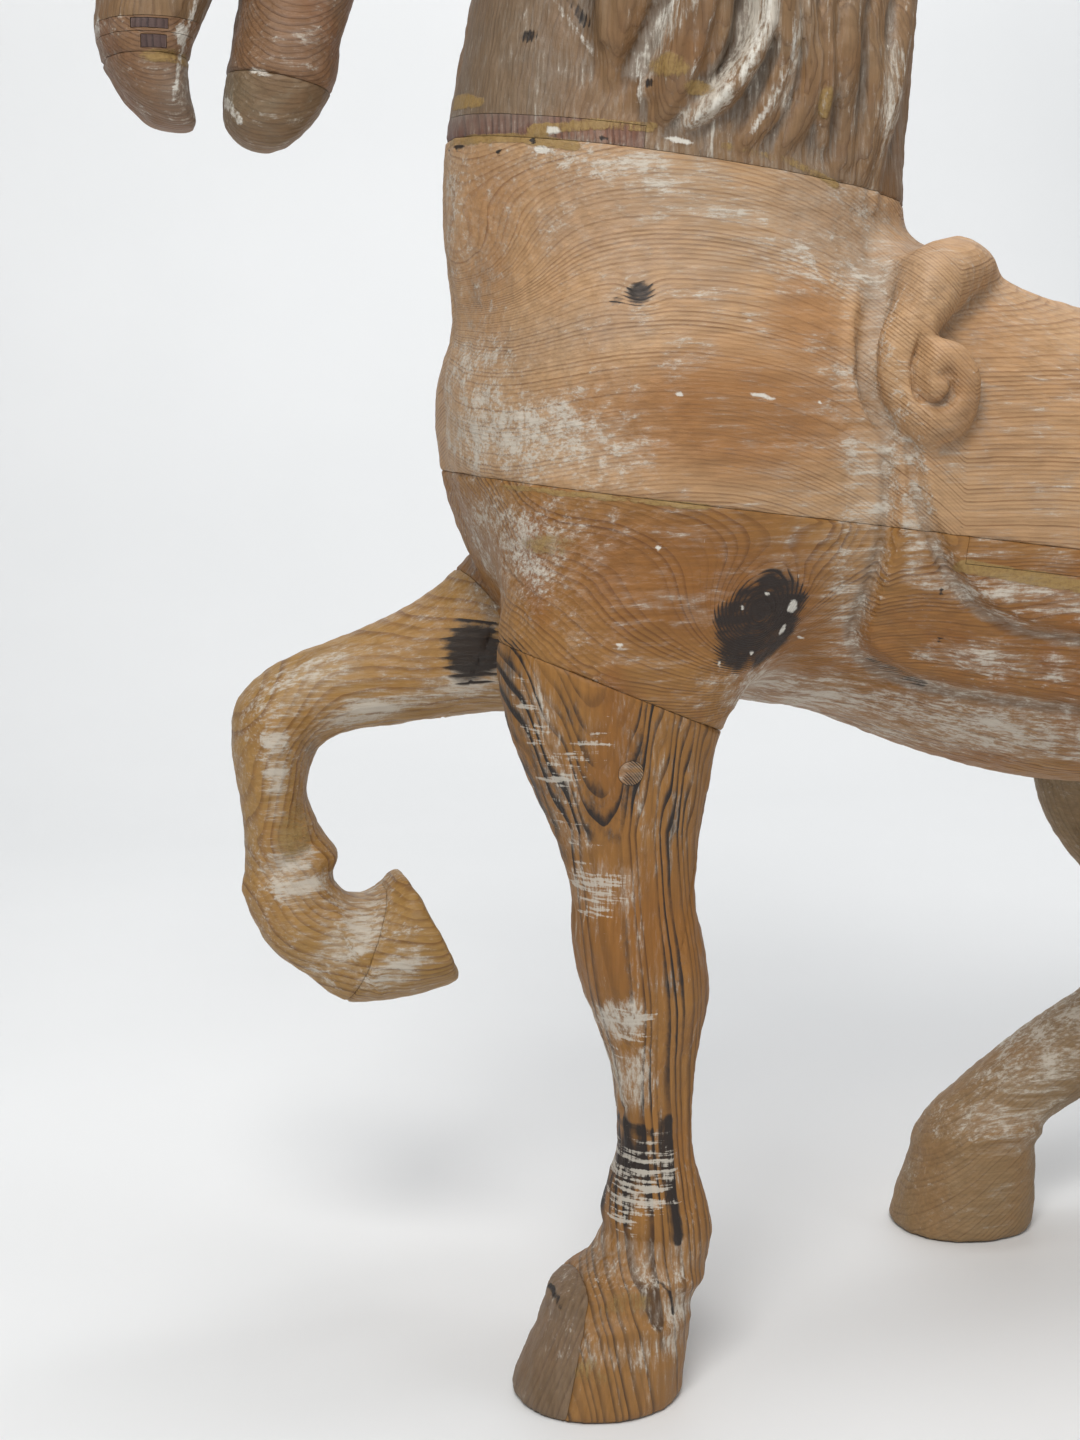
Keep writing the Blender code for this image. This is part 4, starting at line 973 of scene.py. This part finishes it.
def near_leg_rings(p):
    x, y, z = p.T
    over, under = np.maximum(z - 0.356, 0), np.maximum(0.356 - z, 0)
    middle = 0.10 * under - 0.15 * over + 0.003 * wobble(p, 0.20, 31)
    spread = np.sqrt((x - middle) ** 2 + 0.0035 ** 2 + (0.45 * (y - NEAR_Y + 0.03)) ** 2)
    spread = spread + 0.0012 * np.sin(spread * 420) + 0.0010 * wobble(p, 0.060, 32, (0.5, 1, 2))
    return (spread - 0.30 * over + 0.02 * under) / 0.0046


FAR_LEG_PITH = ((60, 420), (-60, 398), (-112, 392), (-130, 370), (-134, 330), (-118, 300), (-85, 290))


def far_leg_rings(p):
    bent = away_from(p, metres(FAR_LEG_PITH))
    away = np.hypot(bent, 0.8 * (p[:, 1] - FAR_Y)) + 0.0018 * wobble(p, 0.07, 41)
    return away / 0.0042


def axis_rings(axis, pith, pitch, lean=(0.0, 0.0), seed=50, wander=0.004):
    """Rings round a straight pith; `axis` is the grain's, and `pith` the other two coordinates."""
    others = [k for k in range(3) if k != axis]

    def rings(p):
        u = p[:, others[0]] - pith[0] - lean[0] * p[:, axis]
        v = p[:, others[1]] - pith[1] - lean[1] * p[:, axis]
        away = np.hypot(u, v) + wander * wobble(p, 0.16, seed) + 0.25 * wander * wobble(p, 0.04, seed + 1)
        return away / pitch
    return rings


# Old paint, filler, scorches and colour changes, in millimetres. A spot is its strength, x, z, half
# width and half height and, where they aren't 0 and the near side, its angle and its side. A line
# is its strength, its width and its points.

# Lime left in the grain of the body, the neck, the near foreleg, the raised foreleg and the shank.
LIME_SPOTS = (
    (0.66, -36, 576, 70, 26, -6), (0.55, -58, 592, 16, 50), (0.45, -52, 515, 38, 34),
    (0.46, 30, 722, 60, 16, -8), (0.26, 100, 700, 70, 40, -20), (0.5, 176, 760, 12, 40),
    (0.5, 240, 485, 80, 12, -10), (0.5, 230, 445, 60, 12, -10), (0.3, 150, 690, 28, 50, -30),
    (0.42, 142, 520, 20, 100), (0.4, -68, 700, 14, 60), (0.62, 120, 425, 80, 22, -14),
    (0.62, 240, 402, 110, 24, -8), (0.55, 172, 520, 10, 36, 8), (0.55, 0, 325, 24, 22),
    (0.95, 12, 245, 16, 18), (0.6, 16, 205, 22, 30), (0.42, 26, 98, 50, 18), (0.36, 46, 70, 22, 16),
    (0.3, -20, 80, 22, 30, 40), (0.3, 20, 50, 70, 10), (0.58, -30, 430, 50, 14, 24, 1),
    (0.62, -100, 405, 46, 10, 14, 1), (0.6, -162, 375, 10, 40, 0, 1), (0.62, -150, 300, 22, 20, 0, 1),
    (0.6, -120, 258, 36, 14, 40, 1), (0.6, -90, 240, 22, 12, 20, 1), (0.5, -136, 425, 40, 12, 24, 1),
    (0.5, 400, 150, 80, 30, 40, 1), (0.5, 350, 90, 50, 20, 0, 1),
)
LIME_LINES = (
    (0.7, 11, (90, 822), (88, 800), (79, 778), (64, 760), (50, 748)),
    (0.6, 9, (50, 816), (34, 796), (24, 775)),
    (0.5, 10, (112, 815), (108, 785), (100, 760)),
    (0.34, 7, (157, 600), (157, 500), (150, 462), (160, 446), (190, 432), (274, 417)),
    (0.36, 7, (166, 575), (181, 526), (198, 498), (218, 478), (274, 459)),
    (0.34, 12, (176, 700), (158, 660), (152, 600)),
    (0.4, 14, (-46, 445), (-30, 395), (-16, 350)),
)
# Thick white streaks in the mane and on the lips.
CHALK_SPOTS = (
    (0.7, -218.5, 790, 5, 10), (0.6, -262, 797, 3, 8), (0.7, -176, 773, 9, 3, -20),
)
CHALK_LINES = (
    (0.5, 3.4, (41, 814), (31, 796), (23.5, 780), (22, 757)),
    (0.62, 4, (89, 822), (87, 800), (79, 778), (64, 759), (49, 746)),
    (0.55, 3.4, (104, 805), (106, 785), (99, 765), (85, 742)),
    (0.5, 3, (-18, 816), (-6, 795), (2, 783)),
    (0.45, 3, (129.5, 820), (129.5, 775), (127, 745)),
    (0.45, 2.6, (150, 815), (147, 775), (146, 735)),
    (0.48, 2.6, (190, 800), (180, 770), (170, 745), (166, 722)),
    (0.4, 3, (60, 814), (55, 790), (46, 770)),
    (0.62, 2.6, (-205, 835), (-208.5, 813.5), (-219, 782), (-223.5, 757)),
    (0.62, 3, (-197, 777), (-193, 762), (-186, 748)),
)
# Small chips in the wood: x, z, half width, half height and angle.
CHIPS = (
    (80, 599, 11, 1.6, -12), (114, 596, 2, 1.4), (-20, 743, 5, 3), (45, 737, 10, 2, -8),
    (-26, 733, 5, 3, -20), (0, 464.5, 3, 1.6), (34, 600, 3, 2), (22, 517, 2.5, 2), (60, 452, 2, 2),
    (106.6, 481.5, 4.6, 5),
    (103, 468, 2.4, 5, -30), (88, 490, 2.4, 2), (73, 483, 1.8, 1.8), (82, 456, 2.2, 1.8),
    (118, 462, 4, 1.4, -20),
)
# Filler in the joints.
OCHRE_SPOTS = (
    (0.7, -60, 764, 14, 6, -20), (0.6, 36, 776, 14, 10), (0.6, 52, 764, 14, 6), (0.66, 129, 760, 7, 14),
    (0.5, -30, 518, 20, 10), (0.6, -225, 779, 30, 6), (0.5, 110, 790, 6, 5), (0.46, 10, 78, 26, 12),
    (0.46, -10, 40, 20, 14), (0.5, -150, 330, 20, 30, 0, 1),
)
OCHRE_LINES = (
    (0.62, 6, (-30, 744), (0, 746), (30, 744)),
    (0.55, 5, (70, 734.5), (110, 727.5), (140, 716)),
    (0.66, 5, (-70, 741.5), (-40, 740.5), (-10, 734.5)),
    (0.6, 3.5, (-50, 549), (0, 544), (50, 539)),
    (0.66, 7.5, (200, 504), (230, 499), (300, 486)),
)
# Small knots, the flame and the scorches of the standing foreleg, and dark cracks.
BLACK_SPOTS = (
    (0.8, 17, 654, 10, 6.5, 30), (0.55, 6, 650, 6, 3, 20), (0.95, -39, 441, 24, 24, 10, 1),
    (0.68, 16, 150, 28, 36), (0.72, -2, 112, 9, 8), (0.7, -30, 795, 5, 4, 30), (0.75, 27, 767, 2.4, 3),
)
BLACK_LINES = (
    (0.5, 12, (-52, 458), (-42, 405), (-22, 372), (-1.5, 354)),
    (0.46, 10, (-28, 445), (-20, 405), (-6, 374), (1.5, 362)),
    (0.42, 9, (18, 430), (13, 395), (4.5, 364)),
    (0.5, 12, (-52, 440), (-36, 375), (-20, 335), (-22, 280), (-10, 230)),
    (0.26, 8, (6, 352), (12, 300), (14, 260)),
    (0.3, 16, (40, 400), (36, 330), (40, 250), (34, 190)),
    (0.42, 6, (-14, 245), (-2, 215), (4, 180)),
    (0.78, 7.5, (40, 180), (40, 150), (44, 112)),
    (0.72, 5, (10, 178), (30, 174)),
    (0.6, 2.2, (-22, 98), (-23, 80), (-22.5, 70)),
    (0.66, 1.8, (33, 88), (40, 78), (41, 68)),
    (0.45, 4, (165, 447), (200, 430)),
    (0.55, 4, (-14, 822), (-2, 800)),
)
# Worm and nail holes: x, z and radius.
HOLES = (
    (192, 489, 2), (197, 460, 2), (197.5, 526.5, 2), (-62, 738, 2.6), (-30, 738, 2), (4, 738, 2),
    (-46, 733, 1.6),
)
# Redder and greyer wood.
WARM_SPOTS = (
    (0.85, 60, 588, 95, 42, -4), (0.5, 110, 640, 30, 40, -30), (0.3, -50, 690, 20, 44),
    (0.85, 40, 500, 100, 48, -10), (0.6, 240, 470, 90, 60, -10), (0.3, 230, 600, 70, 60),
    (0.85, 0, 405, 18, 46), (0.3, 20, 290, 30, 50), (0.4, 20, 790, 20, 30), (0.4, 50, 800, 16, 30),
)
COOL_SPOTS = (
    (0.4, 135, 690, 60, 40, -30), (0.24, 40, 690, 100, 40, -6), (0.26, -10, 625, 50, 30),
    (0.3, 400, 380, 120, 120, 0, 1), (0.55, -205, 765, 30, 20),
)
# White left in the marks of a toothed scraper, across the grain.
HATCH_SPOTS = (
    (0.66, -4, 325, 22, 24), (0.5, 0, 215, 20, 30), (0.55, -20, 395, 14, 40, -30),
    (0.5, 14, 244, 20, 22), (0.66, 16, 140, 34, 36), (0.55, 36, 160, 14, 30),
    (0.5, 440, 180, 40, 20, 40, 1),
)
HATCH_LINES = (
    (0.44, 12, (-46, 440), (-32, 395), (-16, 355)),
)


def marks(p, spots=(), lines=()):
    """The strongest of several marks at each point."""
    layers = [strength * spot(p, *metres(row[:4]), *row[4:]) for strength, *row in spots]
    layers += [strength * line(p, metres(points), width / MM) for strength, width, *points in lines]
    return np.max(layers, axis=0)


def lime_marks(p):
    return 0.05 + marks(p, LIME_SPOTS, LIME_LINES)


def chalk_marks(p):
    return marks(p, (*CHALK_SPOTS, *((0.9, *chip) for chip in CHIPS)), CHALK_LINES)


def ochre_marks(p):
    return marks(p, OCHRE_SPOTS, OCHRE_LINES)


def black_marks(p):
    x, z = p[:, 0] - 0.085, p[:, 2] - 0.473
    burl = np.hypot(0.82 * x + 0.57 * z, 1.28 * (0.82 * z - 0.57 * x)) + 0.003 * wobble(p, 0.02, 95)
    holes = ((0.95, x, z, radius, radius) for x, z, radius in HOLES)
    small = marks(p, (*BLACK_SPOTS, *holes), BLACK_LINES)
    return np.maximum(small, 0.86 * ramp(burl, 0.039, 0.027) * (p[:, 1] < 0))


def tone_marks(p):
    """Above 0 the wood is redder, below 0 greyer."""
    x, y, z = p.T
    neck_front = 0.55 * (y < 0) * ramp(z, 0.740, 0.760) * ramp(x, 0.020, -0.03) * (x > -0.12)
    hoof = 0.15 * (y < 0) * ramp(z, 0.115, 0.085) * (x < 0.2)
    return marks(p, WARM_SPOTS) - np.max((marks(p, COOL_SPOTS), neck_front, hoof), axis=0)


def hatch_marks(p):
    return marks(p, HATCH_SPOTS, HATCH_LINES)


MARKS = {
    "lime": lime_marks, "chalk": chalk_marks, "ochre": ochre_marks, "black": black_marks,
    "tone": tone_marks, "hatch": hatch_marks,
}

# The blocks.

HALF = GAP / 2
FAR_REACH = 1.5
TALL = 0.60
ALL_Y = (-0.30, 0.30)
PLUG_AT = (0.010, NEAR_Y - 0.044, 0.392)
PLUG_LENGTH = 0.036


def block_list():
    """Each block: its node, its slab, the slabs taken from it, a slot name that nothing uses, its wood and
    its rings.
    """
    y_near, y_far = (-0.30, -0.0123), (0.0403, 0.30)
    above_neck = (NECK_SEAM, (-FAR_REACH, FAR_REACH), (-HALF, TALL), ALL_Y)
    below_neck = (NECK_SEAM, (-FAR_REACH, FAR_REACH), (-TALL, HALF), ALL_Y)
    tail_room = (TAIL_SEAM, (-0.60, 0.20), (-0.40, HALF), ALL_Y)
    near_room = (NEAR_LEG_SEAM, (-0.25, 0.30), (-TALL, HALF), (-0.30, -0.012))
    far_room = (FAR_LEG_SEAM, (-0.10, 0.25), (-TALL, HALF), (0.040, 0.30))
    hind_room = (HIND_SEAM, (-0.24, 0.225), (-TALL, HALF), ALL_Y)
    lath_room = (BODY_SEAM, (0.12, 0.40), (-0.0155, 0.01), (-0.30, -0.108))
    jaw_room = (JAW_SEAM, (0.007, 0.105), (-0.30, HALF), ALL_Y)
    tip_room = (JAW_TIP_SEAM, (-0.008, 0.090), (-0.10, HALF), ALL_Y)
    snout_room = (MUZZLE_SEAM, (-0.06, 0.0275), (-0.08, LATH_TOP + HALF), ALL_Y)
    ear_rooms = [(EAR_SEAM, (-0.05, 0.05), (-HALF, 0.10), y) for y in (NEAR_EAR_Y, FAR_EAR_Y)]
    shim_room = (NECK_SEAM, (-0.16, -0.0497), (-0.01, SHIM_THICK + GAP), ALL_Y)
    inlays = {
        "muzzle_band": (MUZZLE_SEAM, (-0.0110, 0.0030), (0.0020, 0.0090), (-0.30, -INLAY_Y)),
        "muzzle_lath": (MUZZLE_SEAM, (-0.0160, 0.0040), (0.0120, 0.0174), (-0.30, -INLAY_Y)),
    }

    plug = (PLUG_AT, (0, 1, 0), PLUG_RADIUS, PLUG_LENGTH)
    plug_room = (PLUG_AT, (0, 1, 0), PLUG_RADIUS + GAP, PLUG_LENGTH + 2 * GAP)

    def inset(box):
        seam, along, across, y = box
        return seam, (along[0] + GAP, along[1] - GAP), (across[0] + GAP, across[1] - GAP), (y[0], y[1] - GAP)

    head_rings = axis_rings(2, (-0.10, -0.25), 0.0024, seed=61)
    jaw_rings = axis_rings(0, (-0.20, 0.95), 0.0026, seed=63)
    return (
        (
            "upper_body_block", (BODY_SEAM, (-0.18, 0.80), (HALF, 0.30), ALL_Y), (above_neck, tail_room),
            "body_pine", "upper", upper_rings,
        ),
        (
            "lower_body_block", (BODY_SEAM, (-0.40, 0.80), (-TALL, -HALF), ALL_Y),
            (near_room, far_room, hind_room, lath_room, tail_room), "body_pine", "lower", lower_rings,
        ),
        (
            "body_lath", (BODY_SEAM, (0.1203, 0.3997), (-0.0152, -HALF), (-0.30, -0.1083)), (),
            "lath_pine", "lower", axis_rings(0, (-0.1, 0.3), 0.0022),
        ),
        (
            "tail_block", (TAIL_SEAM, (-0.60, 0.20), (-0.40, -HALF), ALL_Y), (), "tail_wood", "tail",
            axis_rings(2, (0.70, 0.04), 0.0034, seed=53),
        ),
        (
            "neck_block", (HEAD_SEAM, (-0.60, 0.30), (-0.50, -HALF), ALL_Y), (below_neck, shim_room),
            "neck_wood", "neck", axis_rings(2, (0.02, -0.32), 0.0024, (0.06, 0.0), seed=55),
        ),
        (
            "neck_shim", (NECK_SEAM, (-0.16, -0.05), (HALF, SHIM_THICK), ALL_Y), (), "shim_wood", "shim",
            axis_rings(2, (-0.30, 0.0), 0.0034, seed=57),
        ),
        (
            "head_block", (HEAD_SEAM, (-0.45, 0.30), (HALF, 0.40), ALL_Y),
            (jaw_room, snout_room, *ear_rooms), "head_wood", "neck", head_rings,
        ),
        (
            "lower_jaw", (JAW_SEAM, (0.007, 0.105), (-0.30, -HALF), ALL_Y), (tip_room,), "jaw_wood",
            "jaw", jaw_rings,
        ),
        (
            "lower_jaw_tip", (JAW_TIP_SEAM, (-0.008, 0.090), (-0.10, -HALF), ALL_Y), (), "jaw_wood",
            "jaw_tip", jaw_rings,
        ),
        (
            "muzzle_tip", (MUZZLE_SEAM, (-0.06, 0.0275), (-0.08, -HALF), ALL_Y), (), "jaw_wood", "jaw",
            jaw_rings,
        ),
        (
            "muzzle_band", (MUZZLE_SEAM, (-0.06, 0.0275), (HALF, BAND_TOP - HALF), ALL_Y),
            (inlays["muzzle_band"],), "jaw_wood", "jaw", jaw_rings,
        ),
        (
            "muzzle_lath", (MUZZLE_SEAM, (-0.06, 0.0275), (BAND_TOP + HALF, LATH_TOP - HALF), ALL_Y),
            (inlays["muzzle_lath"],), "jaw_wood", "jaw", jaw_rings,
        ),
        (
            "muzzle_band_inlay", inset(inlays["muzzle_band"]), (), "inlay_wood", "inlay",
            axis_rings(2, (-0.30, 0.0), 0.0030, seed=65),
        ),
        (
            "muzzle_lath_inlay", inset(inlays["muzzle_lath"]), (), "inlay_wood", "inlay",
            axis_rings(2, (-0.30, 0.0), 0.0030, seed=66),
        ),
        (
            "ear_near", (EAR_SEAM, (-0.05, 0.05), (HALF, 0.10), NEAR_EAR_Y), (), "head_wood", "neck",
            head_rings,
        ),
        (
            "ear_far", (EAR_SEAM, (-0.05, 0.05), (HALF, 0.10), FAR_EAR_Y), (), "head_wood", "neck",
            head_rings,
        ),
        (
            "near_foreleg", (NEAR_LEG_SEAM, (-0.25, 0.30), (-TALL, -HALF), y_near),
            ((TOE_SEAM, (-0.10, 0.06), (-HALF, 0.20), (-0.30, -0.012)), plug_room), "leg_pine",
            "near_leg", near_leg_rings,
        ),
        ("leg_plug", plug, (), "dowel_wood", "plug", axis_rings(1, (-0.02, 0.36), 0.0012, seed=69)),
        (
            "near_fore_toe", (TOE_SEAM, (-0.10, 0.06), (HALF, 0.20), y_near), (), "leg_pine", "toe",
            axis_rings(2, (-0.10, -0.078), 0.0036, (0.5, 0), seed=71),
        ),
        (
            "far_foreleg", (FAR_LEG_SEAM, (-0.10, 0.25), (-TALL, -HALF), y_far),
            ((FAR_HOOF_SEAM, (-0.10, 0.10), (-0.12, HALF), (0.020, 0.30)),), "leg_pine", "far_leg",
            far_leg_rings,
        ),
        (
            "far_fore_hoof", (FAR_HOOF_SEAM, (-0.10, 0.10), (-0.12, -HALF), (0.020, 0.30)), (),
            "leg_pine", "far_leg", axis_rings(0, (0.09, 0.20), 0.0036, seed=73),
        ),
        (
            "near_hind_thigh", (HIND_SEAM, (-0.24, 0.225), (-0.342, -HALF), (-0.30, -0.001)),
            ((NEAR_HOCK_SEAM, (-0.30, 0.07), (-0.40, HALF), (-0.30, -0.001)),), "leg_pine", "hind",
            axis_rings(2, (0.56, -0.02), 0.0036, (0.4, 0), seed=75),
        ),
        (
            "near_hind_shank", (NEAR_HOCK_SEAM, (-0.30, 0.07), (-0.40, -HALF), (-0.30, -0.001)), (),
            "leg_pine", "hind", axis_rings(2, (0.66, -0.07), 0.0036, seed=77),
        ),
        (
            "far_hind_thigh", (HIND_SEAM, (-0.24, 0.225), (-0.342, -HALF), (0.001, 0.30)),
            ((FAR_HOCK_SEAM, (-0.30, 0.05), (-HALF, 0.40), (0.001, 0.30)),), "leg_pine", "hind_far",
            axis_rings(2, (0.50, 0.03), 0.0036, (-0.3, 0), seed=79),
        ),
        (
            "far_hind_shank", (FAR_HOCK_SEAM, (-0.30, 0.05), (HALF, 0.40), (0.001, 0.30)), (),
            "leg_pine", "hind_far", axis_rings(0, (0.12, 0.05), 0.0036, (0, 0.7), seed=81),
        ),
    )


WOODS = {
    "upper": dict(
        early=(0.47, 0.288, 0.148), late=(0.20, 0.088, 0.034), contrast=0.68, greyed=0.16, grime_and_shade=0.30,
        warm=(0.27, 0.108, 0.024),
    ),
    "lower": dict(
        early=(0.32, 0.160, 0.046), late=(0.12, 0.044, 0.012), contrast=0.88, greyed=0.10, warmed=0.6,
        warm=(0.21, 0.074, 0.013), grime_and_shade=0.40,
    ),
    "neck": dict(
        early=(0.230, 0.138, 0.068), late=(0.10, 0.048, 0.024), grain=UPRIGHT, contrast=0.60,
        greyed=0.26, grey=(0.17, 0.135, 0.10), warmed=0.4, warm=(0.20, 0.085, 0.025), limed=0.02,
    ),
    "shim": dict(
        early=(0.17, 0.080, 0.055), late=(0.060, 0.026, 0.022), grain=UPRIGHT, contrast=0.95,
        greyed=0.35,
    ),
    "jaw": dict(
        early=(0.23, 0.125, 0.062), late=(0.080, 0.034, 0.018), contrast=0.60, greyed=0.22,
        warm=(0.20, 0.066, 0.020), warmed=0.6, limed=0.04,
    ),
    "jaw_tip": dict(
        early=(0.20, 0.125, 0.066), late=(0.100, 0.050, 0.026), contrast=0.50, greyed=0.45, limed=0.06,
        grey=(0.22, 0.185, 0.125),
    ),
    "inlay": dict(
        early=(0.100, 0.062, 0.055), late=(0.030, 0.018, 0.018), grain=UPRIGHT, contrast=0.95,
        greyed=0.25,
    ),
    "near_leg": dict(
        early=(0.30, 0.140, 0.034), late=(0.038, 0.016, 0.008), grain=UPRIGHT, contrast=0.90,
        greyed=0.06, limed=-0.03, warmed=0.5, warm=(0.23, 0.088, 0.015), grey=(0.215, 0.150, 0.088),
    ),
    "toe": dict(
        early=(0.18, 0.110, 0.055), late=(0.090, 0.045, 0.022), grain=UPRIGHT, contrast=0.50,
        greyed=0.10, limed=-0.12,
    ),
    "plug": dict(
        early=(0.33, 0.195, 0.080), late=(0.20, 0.095, 0.035), contrast=0.6, greyed=0.2, limed=0.04,
    ),
    "far_leg": dict(
        early=(0.36, 0.205, 0.062), late=(0.15, 0.062, 0.018), contrast=0.80, greyed=0.08, limed=0.10,
    ),
    "hind": dict(
        early=(0.29, 0.185, 0.095), late=(0.140, 0.070, 0.032), grain=UPRIGHT, contrast=0.60,
        greyed=0.25,
    ),
    "hind_far": dict(
        early=(0.26, 0.165, 0.078), late=(0.125, 0.064, 0.028), contrast=0.45, greyed=0.26, limed=0.0,
        grey=(0.24, 0.19, 0.12),
    ),
    "tail": dict(
        early=(0.26, 0.165, 0.090), late=(0.125, 0.065, 0.034), grain=UPRIGHT, contrast=0.60,
        greyed=0.35, limed=0.04,
    ),
    "peg": dict(
        early=(0.46, 0.32, 0.19), late=(0.28, 0.16, 0.08), contrast=0.5, greyed=0.1,
    ),
}


def set_values(mesh, name, values):
    made = mesh.attributes.new(name, "FLOAT", "POINT")
    made.data.foreach_set("value", np.asarray(values, np.float32))


# the depth at which a hollow gets the full dirt and painted shade
DEEPEST = 0.0009  # a hollow this far below the smoothed surface is fully dark, in metres


def colour_block(mesh, points, rings, soft):
    """Stores the ring number, the hollows that darken with dirt and painted shade, and the marks that the
    block's wood shows.
    """
    # how deep each point lies in a hollow: this drives the dirt and the painted shade in the wood's colour
    hollow = -sample(soft, points, ORIGIN / 2, 2 * VOXEL) / DEEPEST
    set_values(mesh, "ring", rings(points))
    set_values(mesh, "cavity", np.clip(hollow, -1, 1))
    for name, marks_of in MARKS.items():
        set_values(mesh, name, marks_of(points))


def open_seams(points, field, seams):
    """Rounds the edge of a sawn block where it meets a glue line, more in some places than in others."""
    rim = sample(field, points, ORIGIN, VOXEL)
    worn = np.zeros(len(points))
    for seam in seams:
        near = ramp(np.abs(above(points, seam)), 0.0012, 0.0003) * (np.abs(rim) < 0.0008)
        worn = np.maximum(worn, near)
    depth = 0.0007 + 0.0009 * ramp(wobble(points, 0.05, 91), 0.0, 0.9) + 0.0003 * wobble(points, 0.012, 92)
    return points - gradient(points, field) * (worn * depth)[:, None]


def cutter(solid):
    """A slab on a glue line, or the plug's rod."""
    return rod(*solid) if solid[0] == PLUG_AT else slab(*solid)


def build_blocks(woods):
    """Saws, colours and places each block; `soft` is how far the surface lies under its smooth form."""
    field = carved_field()
    soft = blur(field[::2, ::2, ::2].copy(), 3) - field[::2, ::2, ::2]
    soft = blur(soft, 1)
    for node, keep, takes, slot_name, wood_name, rings in block_list():
        seams = {solid[0] for solid in (keep, *takes) if solid[0] != PLUG_AT}
        mesh = saw(node + "_skin", field, cutter(keep), [cutter(take) for take in takes])
        points = open_seams(points_of(mesh), field, seams)
        points[:, 2] = np.maximum(points[:, 2], SOLE_Z)
        colour_block(mesh, points, rings, soft)
        set_points(mesh, points - SHIFT)
        mesh.name = node + "_carved"
        mesh.materials.clear()
        mesh.materials.append(woods[wood_name])
        mesh.shade_smooth()
        mesh.set_sharp_from_angle(angle=math.radians(38))
        obj = place(node + "_carved", mesh)
        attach(obj, "root")
        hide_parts(node)


# The dowels are hidden in the joints: they keep their CAD shape and take a plain hardwood.


def colour_dowels(wood_material):
    for name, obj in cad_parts.items():
        if "dowel" in name:
            mesh = obj.data
            points = points_of(mesh) + SHIFT
            for key in ("cavity", *MARKS):
                set_values(mesh, key, np.zeros(len(points)))
            set_values(mesh, "ring", np.hypot(points[:, 0] - 0.02, points[:, 2] - 0.36) / 0.0012)
            mesh.materials.clear()
            mesh.materials.append(wood_material)


# Studio: a pale sweep, a broad key light, a top light, a weak right light, a light for the backdrop
# and a dim sky.


def make_sweep():
    """A floor that curves up into a backdrop."""
    back, radius, steps = 1.6, 1.2, 12
    profile = [(-4.0, 0.0), (back, 0.0)]
    for step in range(1, steps + 1):
        turn = math.radians(90 * step / steps)
        profile.append((back + radius * math.sin(turn), radius - radius * math.cos(turn)))
    profile.append((back + radius, 5.0))
    bm = bmesh.new()
    rows = [[bm.verts.new((x, y, z)) for x in (-6.0, 6.0)] for y, z in profile]
    for a, b in zip(rows, rows[1:]):
        bm.faces.new((a[0], a[1], b[1], b[0]))
    sweep = place("floor_sweep", finish_mesh(bm, "floor_sweep"))
    sweep.data.shade_smooth()
    g = Graph("floor_paper")
    g.place = g.node("ShaderNodeTexCoord").outputs["Object"]
    mottle = g.noise(g.place, 3.0, 3.0, 0.5)
    g.feed(g.shader.inputs["Base Color"], g.mix(mottle, (0.79, 0.80, 0.805), (0.83, 0.835, 0.84)))
    g.shader.inputs["Roughness"].default_value = 0.55
    sweep.data.materials.append(g.material)


def area_light(name, place_at, aim, size, power_watts, colour):
    light = bpy.data.lights.new(name, "AREA")
    light.shape = "RECTANGLE"
    light.size, light.size_y = size
    light.energy = power_watts
    light.color = colour
    obj = bpy.data.objects.new(name, light)
    obj.location = place_at
    obj.rotation_euler = (Vector(aim) - Vector(place_at)).to_track_quat("-Z", "Y").to_euler()
    bpy.context.scene.collection.objects.link(obj)


def make_studio():
    scene = bpy.context.scene
    scene.view_settings.view_transform = "Standard"
    world = bpy.data.worlds.new("studio")
    world.use_nodes = True
    sky = world.node_tree.nodes["Background"]
    sky.inputs["Color"].default_value = (0.94, 0.97, 1.0, 1.0)
    sky.inputs["Strength"].default_value = 0.20
    scene.world = world
    middle = (0.0, 0.0, 0.5)
    warm, cool = (1.0, 0.985, 0.96), (0.98, 0.99, 1.0)
    area_light("key_light", (-1.3, -2.2, 2.9), middle, (1.5, 1.3), 86, warm)
    area_light("top_light", (0.1, -0.2, 3.2), middle, (1.8, 1.4), 34, cool)
    area_light("right_light", (2.2, -2.4, 1.6), middle, (1.2, 1.6), 13, cool)
    area_light("backdrop_light", (1.1, 0.9, 2.9), (1.1, 2.8, 0.7), (3.0, 0.8), 34, cool)
    camera = bpy.data.cameras.new("camera")
    camera.lens = 54.1
    camera.clip_start = 0.05
    obj = bpy.data.objects.new("camera", camera)
    yaw, pitch = math.radians(-15.0), math.radians(8.9)
    level = math.cos(pitch)
    look = Vector((-math.sin(yaw) * level, math.cos(yaw) * level, -math.sin(pitch)))
    obj.location = (-0.6200, -1.2499, 0.5959)
    obj.rotation_euler = look.to_track_quat("-Z", "Y").to_euler()
    scene.collection.objects.link(obj)
    scene.camera = obj


woods = {name: wood("wood_" + name, **settings) for name, settings in WOODS.items()}
build_blocks(woods)
colour_dowels(woods["peg"])
make_sweep()
make_studio()
